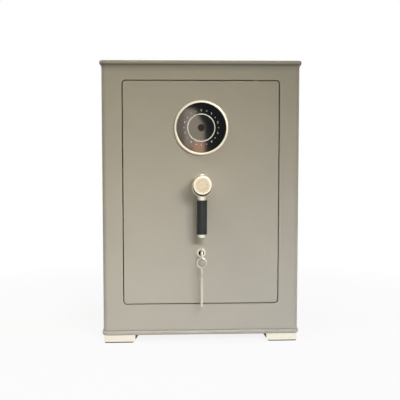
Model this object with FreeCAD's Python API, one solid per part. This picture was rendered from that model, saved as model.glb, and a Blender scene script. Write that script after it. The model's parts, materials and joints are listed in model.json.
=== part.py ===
import FreeCAD, Part
import math
import os

# Biometric safe, floor standing. Millimetres, +Z up, the door faces -Y.
# The origin is under the middle of the whole object, on the floor.
# Depths are counted backwards from the front face of the door and its frame.

# Body of the safe
BODY_WIDTH = 418.0
BODY_DEPTH = 371.0
SHELL_HEIGHT = 557.9
SHEET = 4.0
EDGE_RADIUS = 10.0
EDGE_RETURN = 12.5
BEAD_HEIGHT = 10.0
BEAD_BULGE = 2.8
COVE_HEIGHT = 6.5
BAND_HEIGHT = 8.8
BAND_BULGE = 1.9
LIP_OVERHANG = 4.5
MOULDING_ROOT = 2.0
RIM_WIDTH = 14.0
ANCHOR_SPACING_X = 220.0
ANCHOR_SPACING_Y = 210.0
ANCHOR_HOLE_RADIUS = 6.0

# Feet
FOOT_HEIGHT = 16.8
FOOT_WIDTH = 67.0
FOOT_SLANT = 6.8
FOOT_TAPER = 2.6
FOOT_INSET = 0.8
FOOT_TRIM_SHEET = 1.5
FOOT_EDGE_RADIUS = 6.0
PAD_THICKNESS = 2.5
PAD_INSET = 1.5
PAD_HOLE_GAP = 1.0
FOOT_SCREW_RADIUS = 4.0
FOOT_SCREW_HEAD_RADIUS = 7.0
FOOT_SCREW_HEAD_HEIGHT = 5.0

# Lining and shelf
LINING = 2.0
MAT_THICKNESS = 3.0
LINING_GAP = 0.5
SHELF_HEIGHT_SHARE = 0.488
SHELF_THICKNESS = 12.0
SHELF_SETBACK = 90.0
SHELF_RAIL_LEG = 15.0
SHELF_RAIL_SHEET = 2.0
SHELF_EDGE_RADIUS = 3.0

# Door and the opening that it closes
STILE_WIDTH = 44.5
TOP_RAIL = 27.0
BOTTOM_RAIL = 58.3
DOOR_PLATE = 8.0
DOOR_CORNER_RADIUS = 6.5
DOOR_FRONT_ROUND = 0.8
DOOR_GAP = 2.0
JAMB_SHEET = 3.0
JAMB_REACH = 28.0
PAN_INSET = 18.0
PAN_DEPTH = 50.0
PAN_SHEET = 2.0
PAN_FLANGE = 12.0
PAN_CORNER_RADIUS = 6.0
BACK_COVER = 2.0
COVER_SCREW_RADIUS = 2.0
COVER_SCREW_HEAD_RADIUS = 4.0
COVER_SCREW_HEAD = 1.8
COVER_SCREW_ROWS = 4
STOP_LENGTH = 40.0
STOP_REACH = 11.0
STOP_THICKNESS = 12.0
STOP_GAP = 0.3

# Hinge
HINGE_INSET = 48.0
HINGE_DEPTH = 13.0
HINGE_PIN_RADIUS = 4.0
HINGE_PIN_ROOT = 14.0
HINGE_BUSH_RADIUS = 8.5
HINGE_BUSH_LENGTH = 12.0
HINGE_BUSH_END = 2.0
HINGE_END_GAP = 0.2
HINGE_LUG_WIDTH = 30.0
HINGE_LUG_HEIGHT = 15.0
HINGE_LUG_DEPTH = 14.0

# Fits shared by all pieces
FIT_GAP = 0.05
RUN_GAP = 0.08
SLIDE_GAP = 0.4
OVERRUN = 1.0
MATCH = 0.001
ALONG_SHARE = 0.999

# Bolts that lock the door
BOLT_RADIUS = 11.0
BOLT_LENGTH = 60.0
BOLT_DEPTH = 42.0
BOLT_THROW = 20.0
BOLT_STANDOFF = 14.0
BOLT_SPACING_SHARE = 0.317
BOLT_TIP_ROUND = 1.5
FIXED_BOLT_REACH = 34.0
GUIDE_WALL = 1.8
GUIDE_LENGTH = 16.0
GUIDE_PROUD = 4.0
ROD_BOLT_RADIUS = 8.0
ROD_BOLT_LENGTH = 60.0
ROD_BOLT_STANDOFF = 14.0
ROD_OFFSET_X = 21.0
ROD_WIDTH = 10.0
ROD_SHEET = 3.0
ROD_FRONT_DEPTH = 41.0
ROD_TENON = 10.0
CARRIAGE_BAR = 6.0
CARRIAGE_BAR_DEPTH = 16.0
CARRIAGE_BAR_MARGIN = 15.0
ARM_SHEET = 3.0
ARM_FRONT_DEPTH = 36.0
ARM_HEIGHT = 10.0
ARM_DROP = 34.0
ARM_TAIL_MARGIN = 11.0

# Crank behind the handle
CRANK_RADIUS = 26.0
CRANK_SHEET = 4.0
CRANK_FRONT_DEPTH = 31.0
CRANK_PIN_RADIUS = 3.0
CRANK_SWING_DEG = 60.0
CRANK_EYE_WALL = 5.0

# Touch keypad
DIAL_HEIGHT_SHARE = 0.793
BEZEL_RADIUS = 57.8
BEZEL_HEIGHT = 6.5
BEZEL_ROUND = 3.0
BEZEL_INNER_ROUND = 1.0
GLASS_RADIUS = 52.5
GLASS_THICKNESS = 3.0
GLASS_EDGE_ROUND = 0.6
SENSOR_RADIUS = 7.5
SENSOR_PROUD = 0.4
SENSOR_DISH = 0.5
SENSOR_RIM = 1.2
HOUSING_FLANGE = 1.5
HOUSING_RADIUS = 46.0
HOUSING_LENGTH = 34.0
HOUSING_WALL = 3.0
HOUSING_FLOOR = 4.0
BOARD_THICKNESS = 1.6
BOARD_RECESS = 2.0
BOARD_POST_RADIUS = 3.0
BOARD_POST_RING_RADIUS = 36.0
BOARD_POSTS = 4

# Lever handle
HANDLE_HEIGHT_SHARE = 0.543
HANDLE_GAP = 0.5
HUB_RADIUS = 21.5
HUB_LENGTH = 44.0
HUB_ROUND = 2.5
HUB_DROP = 3.5
CAP_RADIUS = 19.5
CAP_LENGTH = 7.0
CAP_NECK_RADIUS = 15.0
CAP_NECK_LENGTH = 1.5
CAP_ROUND = 1.5
CAP_STEP_RADIUS = 14.5
CAP_STEP_DEPTH = 0.8
CAP_DISH_RADIUS = 10.5
LEVER_DEPTH = 30.0
SLEEVE_RADIUS = 9.5
SLEEVE_TOP = 23.2
SLEEVE_BOTTOM = 32.3
SLEEVE_ROUND = 2.0
LEVER_ROD_RADIUS = 5.0
LEVER_ROD_ROOT = 12.0
GRIP_RADIUS = 10.65
GRIP_LENGTH = 72.0
GRIP_ROUND = 1.0
END_CAP_RADIUS = 9.25
END_CAP_LENGTH = 6.5
END_CAP_ROUND = 2.0
SPINDLE_RADIUS = 7.0
SPINDLE_ROOT = 18.0
SPINDLE_BUSH_WALL = 3.0
SPINDLE_BUSH_FLANGE = 4.0
SPINDLE_BUSH_FLANGE_LENGTH = 3.0

# Key lock and keys
LOCK_DROP = 147.9
ESCUTCHEON_RADIUS = 9.5
ESCUTCHEON_HEIGHT = 3.0
ESCUTCHEON_ROUND = 1.0
BARREL_RADIUS = 8.5
BARREL_LENGTH = 49.0
PLUG_RADIUS = 6.0
PLUG_PROUD = 0.3
CAM_SHEET = 3.0
CAM_REACH = 18.0
CAM_WIDTH = 11.0
CAM_WALL = 2.0
CAM_GAP = 0.5
KEY_BOW_RADIUS = 12.0
KEY_BOW_WIRE_RADIUS = 1.5
KEY_BOW_DEPTH = 25.0
KEY_SHANK_RADIUS = 2.5
KEY_SHANK_LENGTH = 41.0
KEY_BIT_LENGTH = 21.0
KEY_BIT_HEIGHT = 9.4
KEY_BIT_THICKNESS = 3.4
KEY_NOTCH_DEPTH = 1.4
KEY_NOTCHES = 4
KEY_SLOT_GAP = 0.3
RING_RADIUS = 11.0
RING_WIRE_RADIUS = 1.0
RING_REST_GAP = 0.15

# Electric lock, batteries and reset button behind the door
LOCK_CASE_SIDE_SHARE = 0.377
LOCK_CASE_WIDTH = 45.0
LOCK_CASE_BOTTOM_DROP = 12.0
LOCK_CASE_HEIGHT = 57.0
LOCK_CASE_LENGTH = 38.0
LOCK_CASE_WALL = 2.0
LOCK_BOLT_INSET = 20.0
LOCK_BOLT_WIDTH = 8.0
LOCK_BOLT_TRAVEL = 6.0
LOCK_BOLT_TIP_GAP = 0.5
LOCK_BOLT_ROOT = 36.0
LOCK_NOTCH_GAP = 0.5
BATTERY_RADIUS = 7.25
BATTERY_LENGTH = 50.5
BATTERY_TIP_RADIUS = 2.75
BATTERY_TIP_LENGTH = 1.2
BATTERY_CELLS = 4
BATTERY_PITCH = 14.7
BATTERY_END_GAP = 2.5
BATTERY_BOX_WALL = 2.0
BATTERY_BOX_SETBACK = 52.0
BATTERY_HEIGHT_SHARE = 0.18
BATTERY_BOX_DEPTH = 20.0
BATTERY_COVER_LAP = 2.0
BATTERY_COVER_SHEET = 2.0
BATTERY_COVER_RIBS = 4
BATTERY_COVER_RIB = 1.2
BATTERY_COVER_RIB_PITCH = 4.0
COVER_RAIL_WIDTH = 3.0
COVER_RAIL_LIP = 2.0
COVER_RAIL_LIP_HEIGHT = 1.8
COVER_RAIL_GAP = 0.3
BATTERY_COVER_TRAVEL = 62.0
RESET_SETBACK = 86.0
RESET_RADIUS = 4.0
RESET_PROUD = 2.5
RESET_TRAVEL = 2.0
RESET_LENGTH = 12.0
RESET_SWITCH_RADIUS = 8.0
RESET_SWITCH_FLOOR = 2.0
LEAD_RADIUS = 1.5
LEAD_BEND_RADIUS = 15.0
LEAD_INSET = 30.0
LEAD_DEPTH = 24.0
BATTERY_LEAD_DEPTH = 42.7

# Places worked out from those sizes
HANDLE_REACH = HANDLE_GAP + HUB_LENGTH + CAP_NECK_LENGTH + CAP_LENGTH
FRONT_Y = (HANDLE_REACH - BODY_DEPTH - LIP_OVERHANG) / 2
HALF_WIDTH = BODY_WIDTH / 2
SHELL_Z0 = FOOT_HEIGHT + BEAD_HEIGHT
SHELL_Z1 = SHELL_Z0 + SHELL_HEIGHT
BAND_Z = SHELL_Z1 + COVE_HEIGHT
TOP_Z = BAND_Z + BAND_HEIGHT
DOOR_WIDTH = BODY_WIDTH - 2 * STILE_WIDTH
DOOR_HEIGHT = SHELL_HEIGHT - TOP_RAIL - BOTTOM_RAIL
DOOR_BOTTOM_Z = SHELL_Z0 + BOTTOM_RAIL
DOOR_CENTRE_Z = DOOR_BOTTOM_Z + DOOR_HEIGHT / 2
DIAL_Z = DOOR_BOTTOM_Z + DIAL_HEIGHT_SHARE * DOOR_HEIGHT
HANDLE_Z = DOOR_BOTTOM_Z + HANDLE_HEIGHT_SHARE * DOOR_HEIGHT
LOCK_Z = HANDLE_Z - LOCK_DROP
SHELF_TOP_Z = SHELL_Z0 + SHELF_HEIGHT_SHARE * SHELL_HEIGHT
FLOOR_Z = FOOT_HEIGHT + SHEET
MAT_TOP_Z = FLOOR_Z + MAT_THICKNESS
INNER_X = HALF_WIDTH - SHEET
BACK_DEPTH = BODY_DEPTH - SHEET
OPENING_X = DOOR_WIDTH / 2 + DOOR_GAP
OPENING_Z = DOOR_HEIGHT / 2 + DOOR_GAP
OPENING_RADIUS = DOOR_CORNER_RADIUS + DOOR_GAP
PAN_X = DOOR_WIDTH / 2 - PAN_INSET
PAN_Z = DOOR_HEIGHT / 2 - PAN_INSET
PAN_BACK_DEPTH = DOOR_PLATE + PAN_DEPTH
COVER_BACK_DEPTH = PAN_BACK_DEPTH + BACK_COVER
HINGE_X = DOOR_WIDTH / 2 - HINGE_INSET
BOLT_SPACING_Z = BOLT_SPACING_SHARE * DOOR_HEIGHT
BOLT_PLACES_Z = [DOOR_CENTRE_Z + step * BOLT_SPACING_Z for step in (-1, 0, 1)]
BOLT_TIP_X = -PAN_X - BOLT_STANDOFF
BOLT_REAR_X = BOLT_TIP_X + BOLT_LENGTH
ROD_MID_DEPTH = ROD_FRONT_DEPTH + ROD_SHEET / 2
CRANK_ARM = BOLT_THROW / 2 / math.sin(math.radians(CRANK_SWING_DEG) / 2)
PIN_SIDE = CRANK_ARM * math.sin(math.radians(CRANK_SWING_DEG) / 2)
PIN_RISE = CRANK_ARM * math.cos(math.radians(CRANK_SWING_DEG) / 2)
ARM_BOTTOM_Z = HANDLE_Z - ARM_DROP
ARM_TOP_Z = ARM_BOTTOM_Z + ARM_HEIGHT
GLASS_FRONT_DEPTH = -HOUSING_FLANGE - GLASS_THICKNESS
HUB_FRONT_DEPTH = -HANDLE_GAP - HUB_LENGTH
CAP_BACK_DEPTH = HUB_FRONT_DEPTH - CAP_NECK_LENGTH
GRIP_TOP_Z = HANDLE_Z - SLEEVE_BOTTOM
GRIP_BOTTOM_Z = GRIP_TOP_Z - GRIP_LENGTH
BOW_RING_RADIUS = KEY_BOW_RADIUS - KEY_BOW_WIRE_RADIUS
RING_MID_RADIUS = RING_RADIUS - RING_WIRE_RADIUS
RIM_STACK = KEY_BOW_WIRE_RADIUS + RING_WIRE_RADIUS + RING_REST_GAP
RING_Z = LOCK_Z - BOW_RING_RADIUS + RIM_STACK - RING_MID_RADIUS
SPARE_BOW_Z = RING_Z - RING_MID_RADIUS + RIM_STACK - BOW_RING_RADIUS
CAM_FRONT_DEPTH = BARREL_LENGTH + CAM_GAP
LOCK_CASE_X = LOCK_CASE_SIDE_SHARE * PAN_X
LOCK_BOLT_X = LOCK_CASE_X + LOCK_BOLT_INSET
LEAD_X = LOCK_CASE_X + LEAD_INSET
ARM_TAIL_X = LOCK_BOLT_X + BOLT_THROW + ARM_TAIL_MARGIN
LOCK_CASE_BOTTOM_Z = HANDLE_Z - LOCK_CASE_BOTTOM_DROP
LOCK_CASE_TOP_Z = LOCK_CASE_BOTTOM_Z + LOCK_CASE_HEIGHT
BATTERY_BOX_X = PAN_X - BATTERY_BOX_SETBACK
BATTERY_BOX_Z = DOOR_BOTTOM_Z + BATTERY_HEIGHT_SHARE * DOOR_HEIGHT
RESET_X = RESET_SETBACK - PAN_X
RESET_Z = BATTERY_BOX_Z
BATTERY_BOX_HALF_X = BATTERY_CELLS * BATTERY_PITCH / 2 + BATTERY_BOX_WALL
BATTERY_BOX_HALF_Z = BATTERY_LENGTH / 2 + BATTERY_TIP_LENGTH + BATTERY_END_GAP + BATTERY_BOX_WALL
BATTERY_BOX_FRONT_DEPTH = PAN_BACK_DEPTH - BATTERY_BOX_DEPTH
COVER_HALF_X = BATTERY_BOX_HALF_X + BATTERY_COVER_LAP
COVER_HALF_Z = BATTERY_BOX_HALF_Z + BATTERY_COVER_LAP
BATTERY_LEAD_SIDES = (BATTERY_BOX_X - BATTERY_BOX_HALF_X, LOCK_CASE_X + LOCK_CASE_WIDTH)
BATTERY_LEAD_X = sum(BATTERY_LEAD_SIDES) / 2

V = FreeCAD.Vector
X_AXIS = V(1, 0, 0)
Y_AXIS = V(0, 1, 0)
Z_AXIS = V(0, 0, 1)


def place(x, depth, z):
    """A point given by its depth behind the front face."""
    return V(x, FRONT_Y + depth, z)


def slab(x0, x1, depth0, depth1, z0, z1):
    """A block between two widths, two depths and two heights."""
    return Part.makeBox(x1 - x0, depth1 - depth0, z1 - z0, place(x0, depth0, z0))


def bar(x, depth, z, axis, radius, length):
    """A round bar that starts at a place and runs along an axis."""
    return Part.makeCylinder(radius, length, place(x, depth, z), axis)


def tube(x, depth, z, axis, outer, inner, length):
    """A round tube that starts at a place and runs along an axis."""
    core = place(x, depth, z) - axis * OVERRUN
    hole = Part.makeCylinder(inner, length + 2 * OVERRUN, core, axis)
    return bar(x, depth, z, axis, outer, length).cut(hole)


def edges_along(shape, axis):
    """Straight edges that run along an axis."""
    found = []
    for edge in shape.Edges:
        if len(edge.Vertexes) == 2:
            run = edge.Vertexes[1].Point - edge.Vertexes[0].Point
            if abs(run.dot(axis)) > ALONG_SHARE * run.Length:
                found.append(edge)
    return found


def rims(shape, radius, coordinate, value):
    """Round edges of one radius whose centre has one coordinate at a value."""
    found = []
    for edge in shape.Edges:
        curve = edge.Curve
        if isinstance(curve, Part.Circle) and abs(curve.Radius - radius) < MATCH:
            if abs(getattr(curve.Center, coordinate) - value) < MATCH:
                found.append(edge)
    return found


def rounded_slab(x0, x1, depth0, depth1, z0, z1, radius, axis):
    """A block whose four edges along one axis are rounded."""
    block = slab(x0, x1, depth0, depth1, z0, z1)
    return block.makeFillet(radius, edges_along(block, axis))


def turned(x, z, profile):
    """A piece turned about a line along Y, from points of radius and depth."""
    points = [place(x + radius, depth, z) for radius, depth in profile]
    face = Part.Face(Part.makePolygon(points + points[:1]))
    return face.revolve(place(x, 0, z), Y_AXIS, 360)


def group(solids):
    """Separate solids kept together in one piece list."""
    return Part.makeCompound(solids)


def mirrored(shape):
    """The same shape on the other side of the middle plane."""
    return shape.mirror(V(0, 0, 0), X_AXIS)


def body_plan(z):
    """Outline of the body seen from above, from the middle of its front, with rounded corners."""
    flat_x = HALF_WIDTH - EDGE_RADIUS
    mid = EDGE_RADIUS * math.sin(math.radians(45))
    near = EDGE_RADIUS
    far = BODY_DEPTH - EDGE_RADIUS
    corners = [(flat_x, near, 1, -1), (flat_x, far, 1, 1), (-flat_x, far, -1, 1), (-flat_x, near, -1, -1)]
    edges = []
    last = place(0, 0, z)
    for x, depth, side, end in corners:
        along_y = place(x, depth + end * EDGE_RADIUS, z)
        along_x = place(x + side * EDGE_RADIUS, depth, z)
        middle = place(x + side * mid, depth + end * mid, z)
        start, finish = (along_y, along_x) if side * end < 0 else (along_x, along_y)
        edges.append(Part.LineSegment(last, start).toShape())
        edges.append(Part.Arc(start, middle, finish).toShape())
        last = finish
    edges.append(Part.LineSegment(last, place(0, 0, z)).toShape())
    return Part.Wire(edges)


def body_plate(z0, z1):
    """A plate with the body's outline."""
    return Part.Face(body_plan(z0)).extrude(V(0, 0, z1 - z0))


def moulding(edges, z):
    """A moulding that runs all round the body, from the edges of its section."""
    return body_plan(z).makePipeShell([Part.Wire(edges)], True, True)


def section_point(out, z):
    """A point of a moulding's section, counted outwards from the front face."""
    return place(0, -out, z)


def base_tray():
    """Tray under the body with a half-round bead and holes to anchor it to the floor."""
    mid_z = FOOT_HEIGHT + BEAD_HEIGHT / 2
    low = section_point(0, FOOT_HEIGHT)
    high = section_point(0, SHELL_Z0)
    low_root = section_point(-MOULDING_ROOT, FOOT_HEIGHT)
    high_root = section_point(-MOULDING_ROOT, SHELL_Z0)
    edges = [
        Part.Arc(low, section_point(BEAD_BULGE, mid_z), high).toShape(),
        Part.LineSegment(high, high_root).toShape(),
        Part.LineSegment(high_root, low_root).toShape(),
        Part.LineSegment(low_root, low).toShape(),
    ]
    tray = body_plate(FOOT_HEIGHT, SHELL_Z0).fuse(moulding(edges, FOOT_HEIGHT)).removeSplitter()
    pocket_x = HALF_WIDTH - RIM_WIDTH
    pocket = slab(-pocket_x, pocket_x, RIM_WIDTH, BODY_DEPTH - RIM_WIDTH, FLOOR_Z, SHELL_Z0 + OVERRUN)
    return tray.cut(pocket).cut(anchor_holes()).cut(foot_screw_holes())


def anchor_holes():
    """Four upright bores for floor anchors."""
    bores = []
    for side in (-1, 1):
        for end in (-1, 1):
            x = side * ANCHOR_SPACING_X / 2
            depth = BODY_DEPTH / 2 + end * ANCHOR_SPACING_Y / 2
            length = MAT_TOP_Z - FOOT_HEIGHT + 2 * OVERRUN
            bores.append(bar(x, depth, FOOT_HEIGHT - OVERRUN, Z_AXIS, ANCHOR_HOLE_RADIUS, length))
    return group(bores)


def top_cap():
    """Cap with a rounded lip over a cove round its edge, hollow below."""
    cove_out = LIP_OVERHANG - BAND_BULGE
    cove_radius = (cove_out ** 2 + COVE_HEIGHT ** 2) / (2 * cove_out)
    half_turn = math.asin(COVE_HEIGHT / cove_radius) / 2
    cove_mid_out = cove_radius * (1 - math.cos(half_turn))
    cove_mid_z = SHELL_Z1 + cove_radius * math.sin(half_turn)
    foot = section_point(0, SHELL_Z1)
    band_low = section_point(cove_out, BAND_Z)
    band_nose = section_point(LIP_OVERHANG, BAND_Z + BAND_HEIGHT / 2)
    band_high = section_point(cove_out, TOP_Z)
    top_root = section_point(-MOULDING_ROOT, TOP_Z)
    foot_root = section_point(-MOULDING_ROOT, SHELL_Z1)
    edges = [
        Part.Arc(foot, section_point(cove_mid_out, cove_mid_z), band_low).toShape(),
        Part.Arc(band_low, band_nose, band_high).toShape(),
        Part.LineSegment(band_high, top_root).toShape(),
        Part.LineSegment(top_root, foot_root).toShape(),
        Part.LineSegment(foot_root, foot).toShape(),
    ]
    cap = body_plate(SHELL_Z1, TOP_Z).fuse(moulding(edges, SHELL_Z1)).removeSplitter()
    hollow_x = HALF_WIDTH - RIM_WIDTH
    hollow = slab(-hollow_x, hollow_x, RIM_WIDTH, BODY_DEPTH - RIM_WIDTH, SHELL_Z1 - OVERRUN, TOP_Z - SHEET)
    return cap.cut(hollow)


def bent_pan(depth_face, depth_end):
    """Upright sheet whose two side edges are bent round; the face is at the first depth."""
    near = min(depth_face, depth_end)
    far = max(depth_face, depth_end)
    block = slab(-HALF_WIDTH, HALF_WIDTH, near, far, SHELL_Z0, SHELL_Z1)
    face_y = FRONT_Y + depth_face
    outer = [edge for edge in edges_along(block, Z_AXIS) if abs(edge.Vertexes[0].Y - face_y) < MATCH]
    block = block.makeFillet(EDGE_RADIUS, outer)
    inward = math.copysign(SHEET, depth_end - depth_face)
    past = depth_end + math.copysign(OVERRUN, depth_end - depth_face)
    low = min(depth_face + inward, past)
    high = max(depth_face + inward, past)
    hollow = slab(-INNER_X, INNER_X, low, high, SHELL_Z0 - OVERRUN, SHELL_Z1 + OVERRUN)
    inner_y = face_y + inward
    inner = [edge for edge in edges_along(hollow, Z_AXIS) if abs(edge.Vertexes[0].Y - inner_y) < MATCH]
    return block.cut(hollow.makeFillet(EDGE_RADIUS - SHEET, inner))


def opening_block(depth0, depth1, grow):
    """The door opening as a solid, made larger all round by a wall."""
    half_x = OPENING_X + grow
    half_z = OPENING_Z + grow
    z0 = DOOR_CENTRE_Z - half_z
    z1 = DOOR_CENTRE_Z + half_z
    return rounded_slab(-half_x, half_x, depth0, depth1, z0, z1, OPENING_RADIUS + grow, Y_AXIS)


def front_frame():
    """Front sheet with the door opening."""
    return bent_pan(0, EDGE_RETURN).cut(opening_block(-OVERRUN, SHEET + OVERRUN, 0))


def back_panel():
    """Back sheet, bent round at its sides like the front."""
    return bent_pan(BODY_DEPTH, BODY_DEPTH - EDGE_RETURN)


def door_jamb():
    """Steel lining of the door opening, bored for the hinge pins."""
    outer = opening_block(SHEET, JAMB_REACH, JAMB_SHEET)
    ring = outer.cut(opening_block(SHEET - OVERRUN, JAMB_REACH + OVERRUN, 0))
    length = 2 * (OPENING_Z + JAMB_SHEET + OVERRUN)
    bore = bar(HINGE_X, HINGE_DEPTH, DOOR_CENTRE_Z - length / 2, Z_AXIS, HINGE_PIN_RADIUS + SLIDE_GAP, length)
    return ring.cut(bore)


def side_panel():
    """Right side sheet between the bent edges of the front and the back."""
    return slab(INNER_X, HALF_WIDTH, EDGE_RETURN, BODY_DEPTH - EDGE_RETURN, SHELL_Z0, SHELL_Z1)


def side_lining():
    """Felt board on the inside of the right side."""
    z0 = SHELL_Z0 + LINING_GAP
    z1 = SHELL_Z1 - LINING - LINING_GAP
    return slab(INNER_X - LINING, INNER_X, EDGE_RETURN, BODY_DEPTH - EDGE_RETURN, z0, z1)


def back_lining():
    """Felt board on the inside of the back."""
    half = HALF_WIDTH - EDGE_RETURN
    z0 = SHELL_Z0 + LINING_GAP
    z1 = SHELL_Z1 - LINING - LINING_GAP
    return slab(-half, half, BACK_DEPTH - LINING, BACK_DEPTH, z0, z1)


def ceiling_lining():
    """Felt board under the top cap."""
    half = HALF_WIDTH - EDGE_RETURN
    depth0 = EDGE_RETURN
    return slab(-half, half, depth0, BODY_DEPTH - EDGE_RETURN, SHELL_Z1 - LINING, SHELL_Z1)


def floor_mat():
    """Felt mat in the base tray, open over the anchor holes."""
    half = HALF_WIDTH - RIM_WIDTH - LINING_GAP
    depth0 = RIM_WIDTH + LINING_GAP
    mat = slab(-half, half, depth0, BODY_DEPTH - depth0, FLOOR_Z, MAT_TOP_Z)
    return mat.cut(anchor_holes())


def shelf():
    """Removable shelf across the inside."""
    half = INNER_X - LINING - LINING_GAP
    depth1 = BACK_DEPTH - LINING - LINING_GAP
    board = slab(-half, half, SHELF_SETBACK, depth1, SHELF_TOP_Z - SHELF_THICKNESS, SHELF_TOP_Z)
    front_y = FRONT_Y + SHELF_SETBACK
    front = [edge for edge in edges_along(board, X_AXIS) if abs(edge.Vertexes[0].Y - front_y) < MATCH]
    return board.makeFillet(SHELF_EDGE_RADIUS, front)


def shelf_rail():
    """Angle on the right side that carries the shelf."""
    wall_x = INNER_X - LINING
    top = SHELF_TOP_Z - SHELF_THICKNESS
    depth1 = BACK_DEPTH - LINING - LINING_GAP
    ledge = slab(wall_x - SHELF_RAIL_LEG, wall_x, SHELF_SETBACK, depth1, top - SHELF_RAIL_SHEET, top)
    leg = slab(wall_x - SHELF_RAIL_SHEET, wall_x, SHELF_SETBACK, depth1, top - SHELF_RAIL_LEG, top)
    return ledge.fuse(leg).removeSplitter()


def door_stops():
    """Two rubber stops on the jamb that the shut door leans on."""
    stops = []
    for step in (-1, 1):
        middle = DOOR_CENTRE_Z + step * BOLT_SPACING_Z / 2
        z0 = middle - STOP_LENGTH / 2
        depth0 = DOOR_PLATE + STOP_GAP
        x1 = -OPENING_X + STOP_REACH
        stops.append(slab(-OPENING_X, x1, depth0, depth0 + STOP_THICKNESS, z0, z0 + STOP_LENGTH))
    return group(stops)


def hinge_ends():
    """Height of the pan's end, of the jamb's outside, and the way outwards, for each hinge."""
    ends = []
    for way in (-1, 1):
        pan_end = DOOR_CENTRE_Z + way * PAN_Z
        jamb_end = DOOR_CENTRE_Z + way * (OPENING_Z + JAMB_SHEET)
        ends.append((pan_end, jamb_end, way))
    return ends


def hinge_bushes():
    """Blind bushes on the jamb in which the hinge pins turn and rest."""
    bushes = []
    for pan_end, jamb_end, way in hinge_ends():
        outwards = Z_AXIS * way
        length = HINGE_BUSH_LENGTH + HINGE_BUSH_END
        body = bar(HINGE_X, HINGE_DEPTH, jamb_end, outwards, HINGE_BUSH_RADIUS, length)
        start = jamb_end - way * OVERRUN
        radius = HINGE_PIN_RADIUS + RUN_GAP
        bore_length = HINGE_BUSH_LENGTH + OVERRUN
        bushes.append(body.cut(bar(HINGE_X, HINGE_DEPTH, start, outwards, radius, bore_length)))
    return group(bushes)


def hinge_pins():
    """Upright pins at the top and bottom of the door."""
    pins = []
    for pan_end, jamb_end, way in hinge_ends():
        root = pan_end + way * (HINGE_LUG_HEIGHT - HINGE_PIN_ROOT)
        tip = jamb_end + way * (HINGE_BUSH_LENGTH - HINGE_END_GAP)
        pins.append(bar(HINGE_X, HINGE_DEPTH, min(root, tip), Z_AXIS, HINGE_PIN_RADIUS, abs(tip - root)))
    return group(pins)


def hinge_lugs():
    """Blocks on the ends of the door pan that hold the hinge pins."""
    lugs = []
    for pan_end, jamb_end, way in hinge_ends():
        outer = pan_end + way * HINGE_LUG_HEIGHT
        x0 = HINGE_X - HINGE_LUG_WIDTH / 2
        z0 = min(pan_end, outer)
        back = DOOR_PLATE + HINGE_LUG_DEPTH
        lug = slab(x0, x0 + HINGE_LUG_WIDTH, DOOR_PLATE, back, z0, z0 + HINGE_LUG_HEIGHT)
        radius = HINGE_PIN_RADIUS + FIT_GAP
        bore = bar(HINGE_X, HINGE_DEPTH, z0 - OVERRUN, Z_AXIS, radius, HINGE_LUG_HEIGHT + 2 * OVERRUN)
        lugs.append(lug.cut(bore))
    return group(lugs)


def four_corners(shape):
    """One foot piece of the front right corner, copied to all four corners."""
    left = mirrored(shape)
    middle = place(0, BODY_DEPTH / 2, 0)
    return [shape, left, shape.mirror(middle, Y_AXIS), left.mirror(middle, Y_AXIS)]


def foot_corner(inset, overlap, radius):
    """Upright block of a front right foot, set in from its outer faces and rounded at the corner."""
    x1 = HALF_WIDTH - FOOT_INSET - inset
    x0 = HALF_WIDTH - FOOT_INSET - FOOT_WIDTH - overlap
    depth0 = FOOT_INSET + inset
    depth1 = FOOT_INSET + FOOT_WIDTH + overlap
    block = slab(x0, x1, depth0, depth1, PAD_THICKNESS, FOOT_HEIGHT)
    corner = place(x1, depth0, PAD_THICKNESS)
    outer = [
        edge for edge in edges_along(block, Z_AXIS)
        if min(vertex.Point.distanceToPoint(corner) for vertex in edge.Vertexes) < MATCH
    ]
    return block.makeFillet(radius, outer)


def foot_screw_place():
    """Middle of the front right foot."""
    return HALF_WIDTH - FOOT_INSET - FOOT_WIDTH / 2, FOOT_INSET + FOOT_WIDTH / 2


def foot_screw_holes():
    """Upright bores through the base tray for the foot screws."""
    x, depth = foot_screw_place()
    length = SHEET + 2 * OVERRUN
    hole = bar(x, depth, FOOT_HEIGHT - OVERRUN, Z_AXIS, FOOT_SCREW_RADIUS + FIT_GAP, length)
    return group(four_corners(hole))


def foot_taper():
    """Room of the front right foot, whose two inner sides slant inwards to the floor."""
    x1 = HALF_WIDTH + OVERRUN
    depth0 = -OVERRUN
    sections = []
    for z, reach in ((PAD_THICKNESS, FOOT_WIDTH - FOOT_TAPER), (FOOT_HEIGHT, FOOT_WIDTH + FOOT_SLANT)):
        x0 = HALF_WIDTH - FOOT_INSET - reach
        depth1 = FOOT_INSET + reach
        corners = [place(x0, depth0, z), place(x1, depth0, z), place(x1, depth1, z), place(x0, depth1, z)]
        sections.append(Part.makePolygon(corners + corners[:1]))
    return Part.makeLoft(sections, True, True)


def foot_block():
    """Black foot inside its trim."""
    core = foot_corner(FOOT_TRIM_SHEET, FOOT_SLANT, FOOT_EDGE_RADIUS - FOOT_TRIM_SHEET)
    block = core.common(foot_taper())
    x, depth = foot_screw_place()
    counterbore = OVERRUN + FOOT_SCREW_HEAD_HEIGHT + PAD_HOLE_GAP
    head_radius = FOOT_SCREW_HEAD_RADIUS + PAD_HOLE_GAP
    head = bar(x, depth, PAD_THICKNESS - OVERRUN, Z_AXIS, head_radius, counterbore)
    shank = bar(x, depth, PAD_THICKNESS, Z_AXIS, FOOT_SCREW_RADIUS + FIT_GAP, FOOT_HEIGHT)
    return block.cut(head).cut(shank)


def foot_trim():
    """Pale metal angle round the outer corner of a foot."""
    outer = foot_corner(0, 0, FOOT_EDGE_RADIUS)
    trim = outer.cut(foot_corner(FOOT_TRIM_SHEET, OVERRUN, FOOT_EDGE_RADIUS - FOOT_TRIM_SHEET))
    return trim.common(foot_taper())


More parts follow.
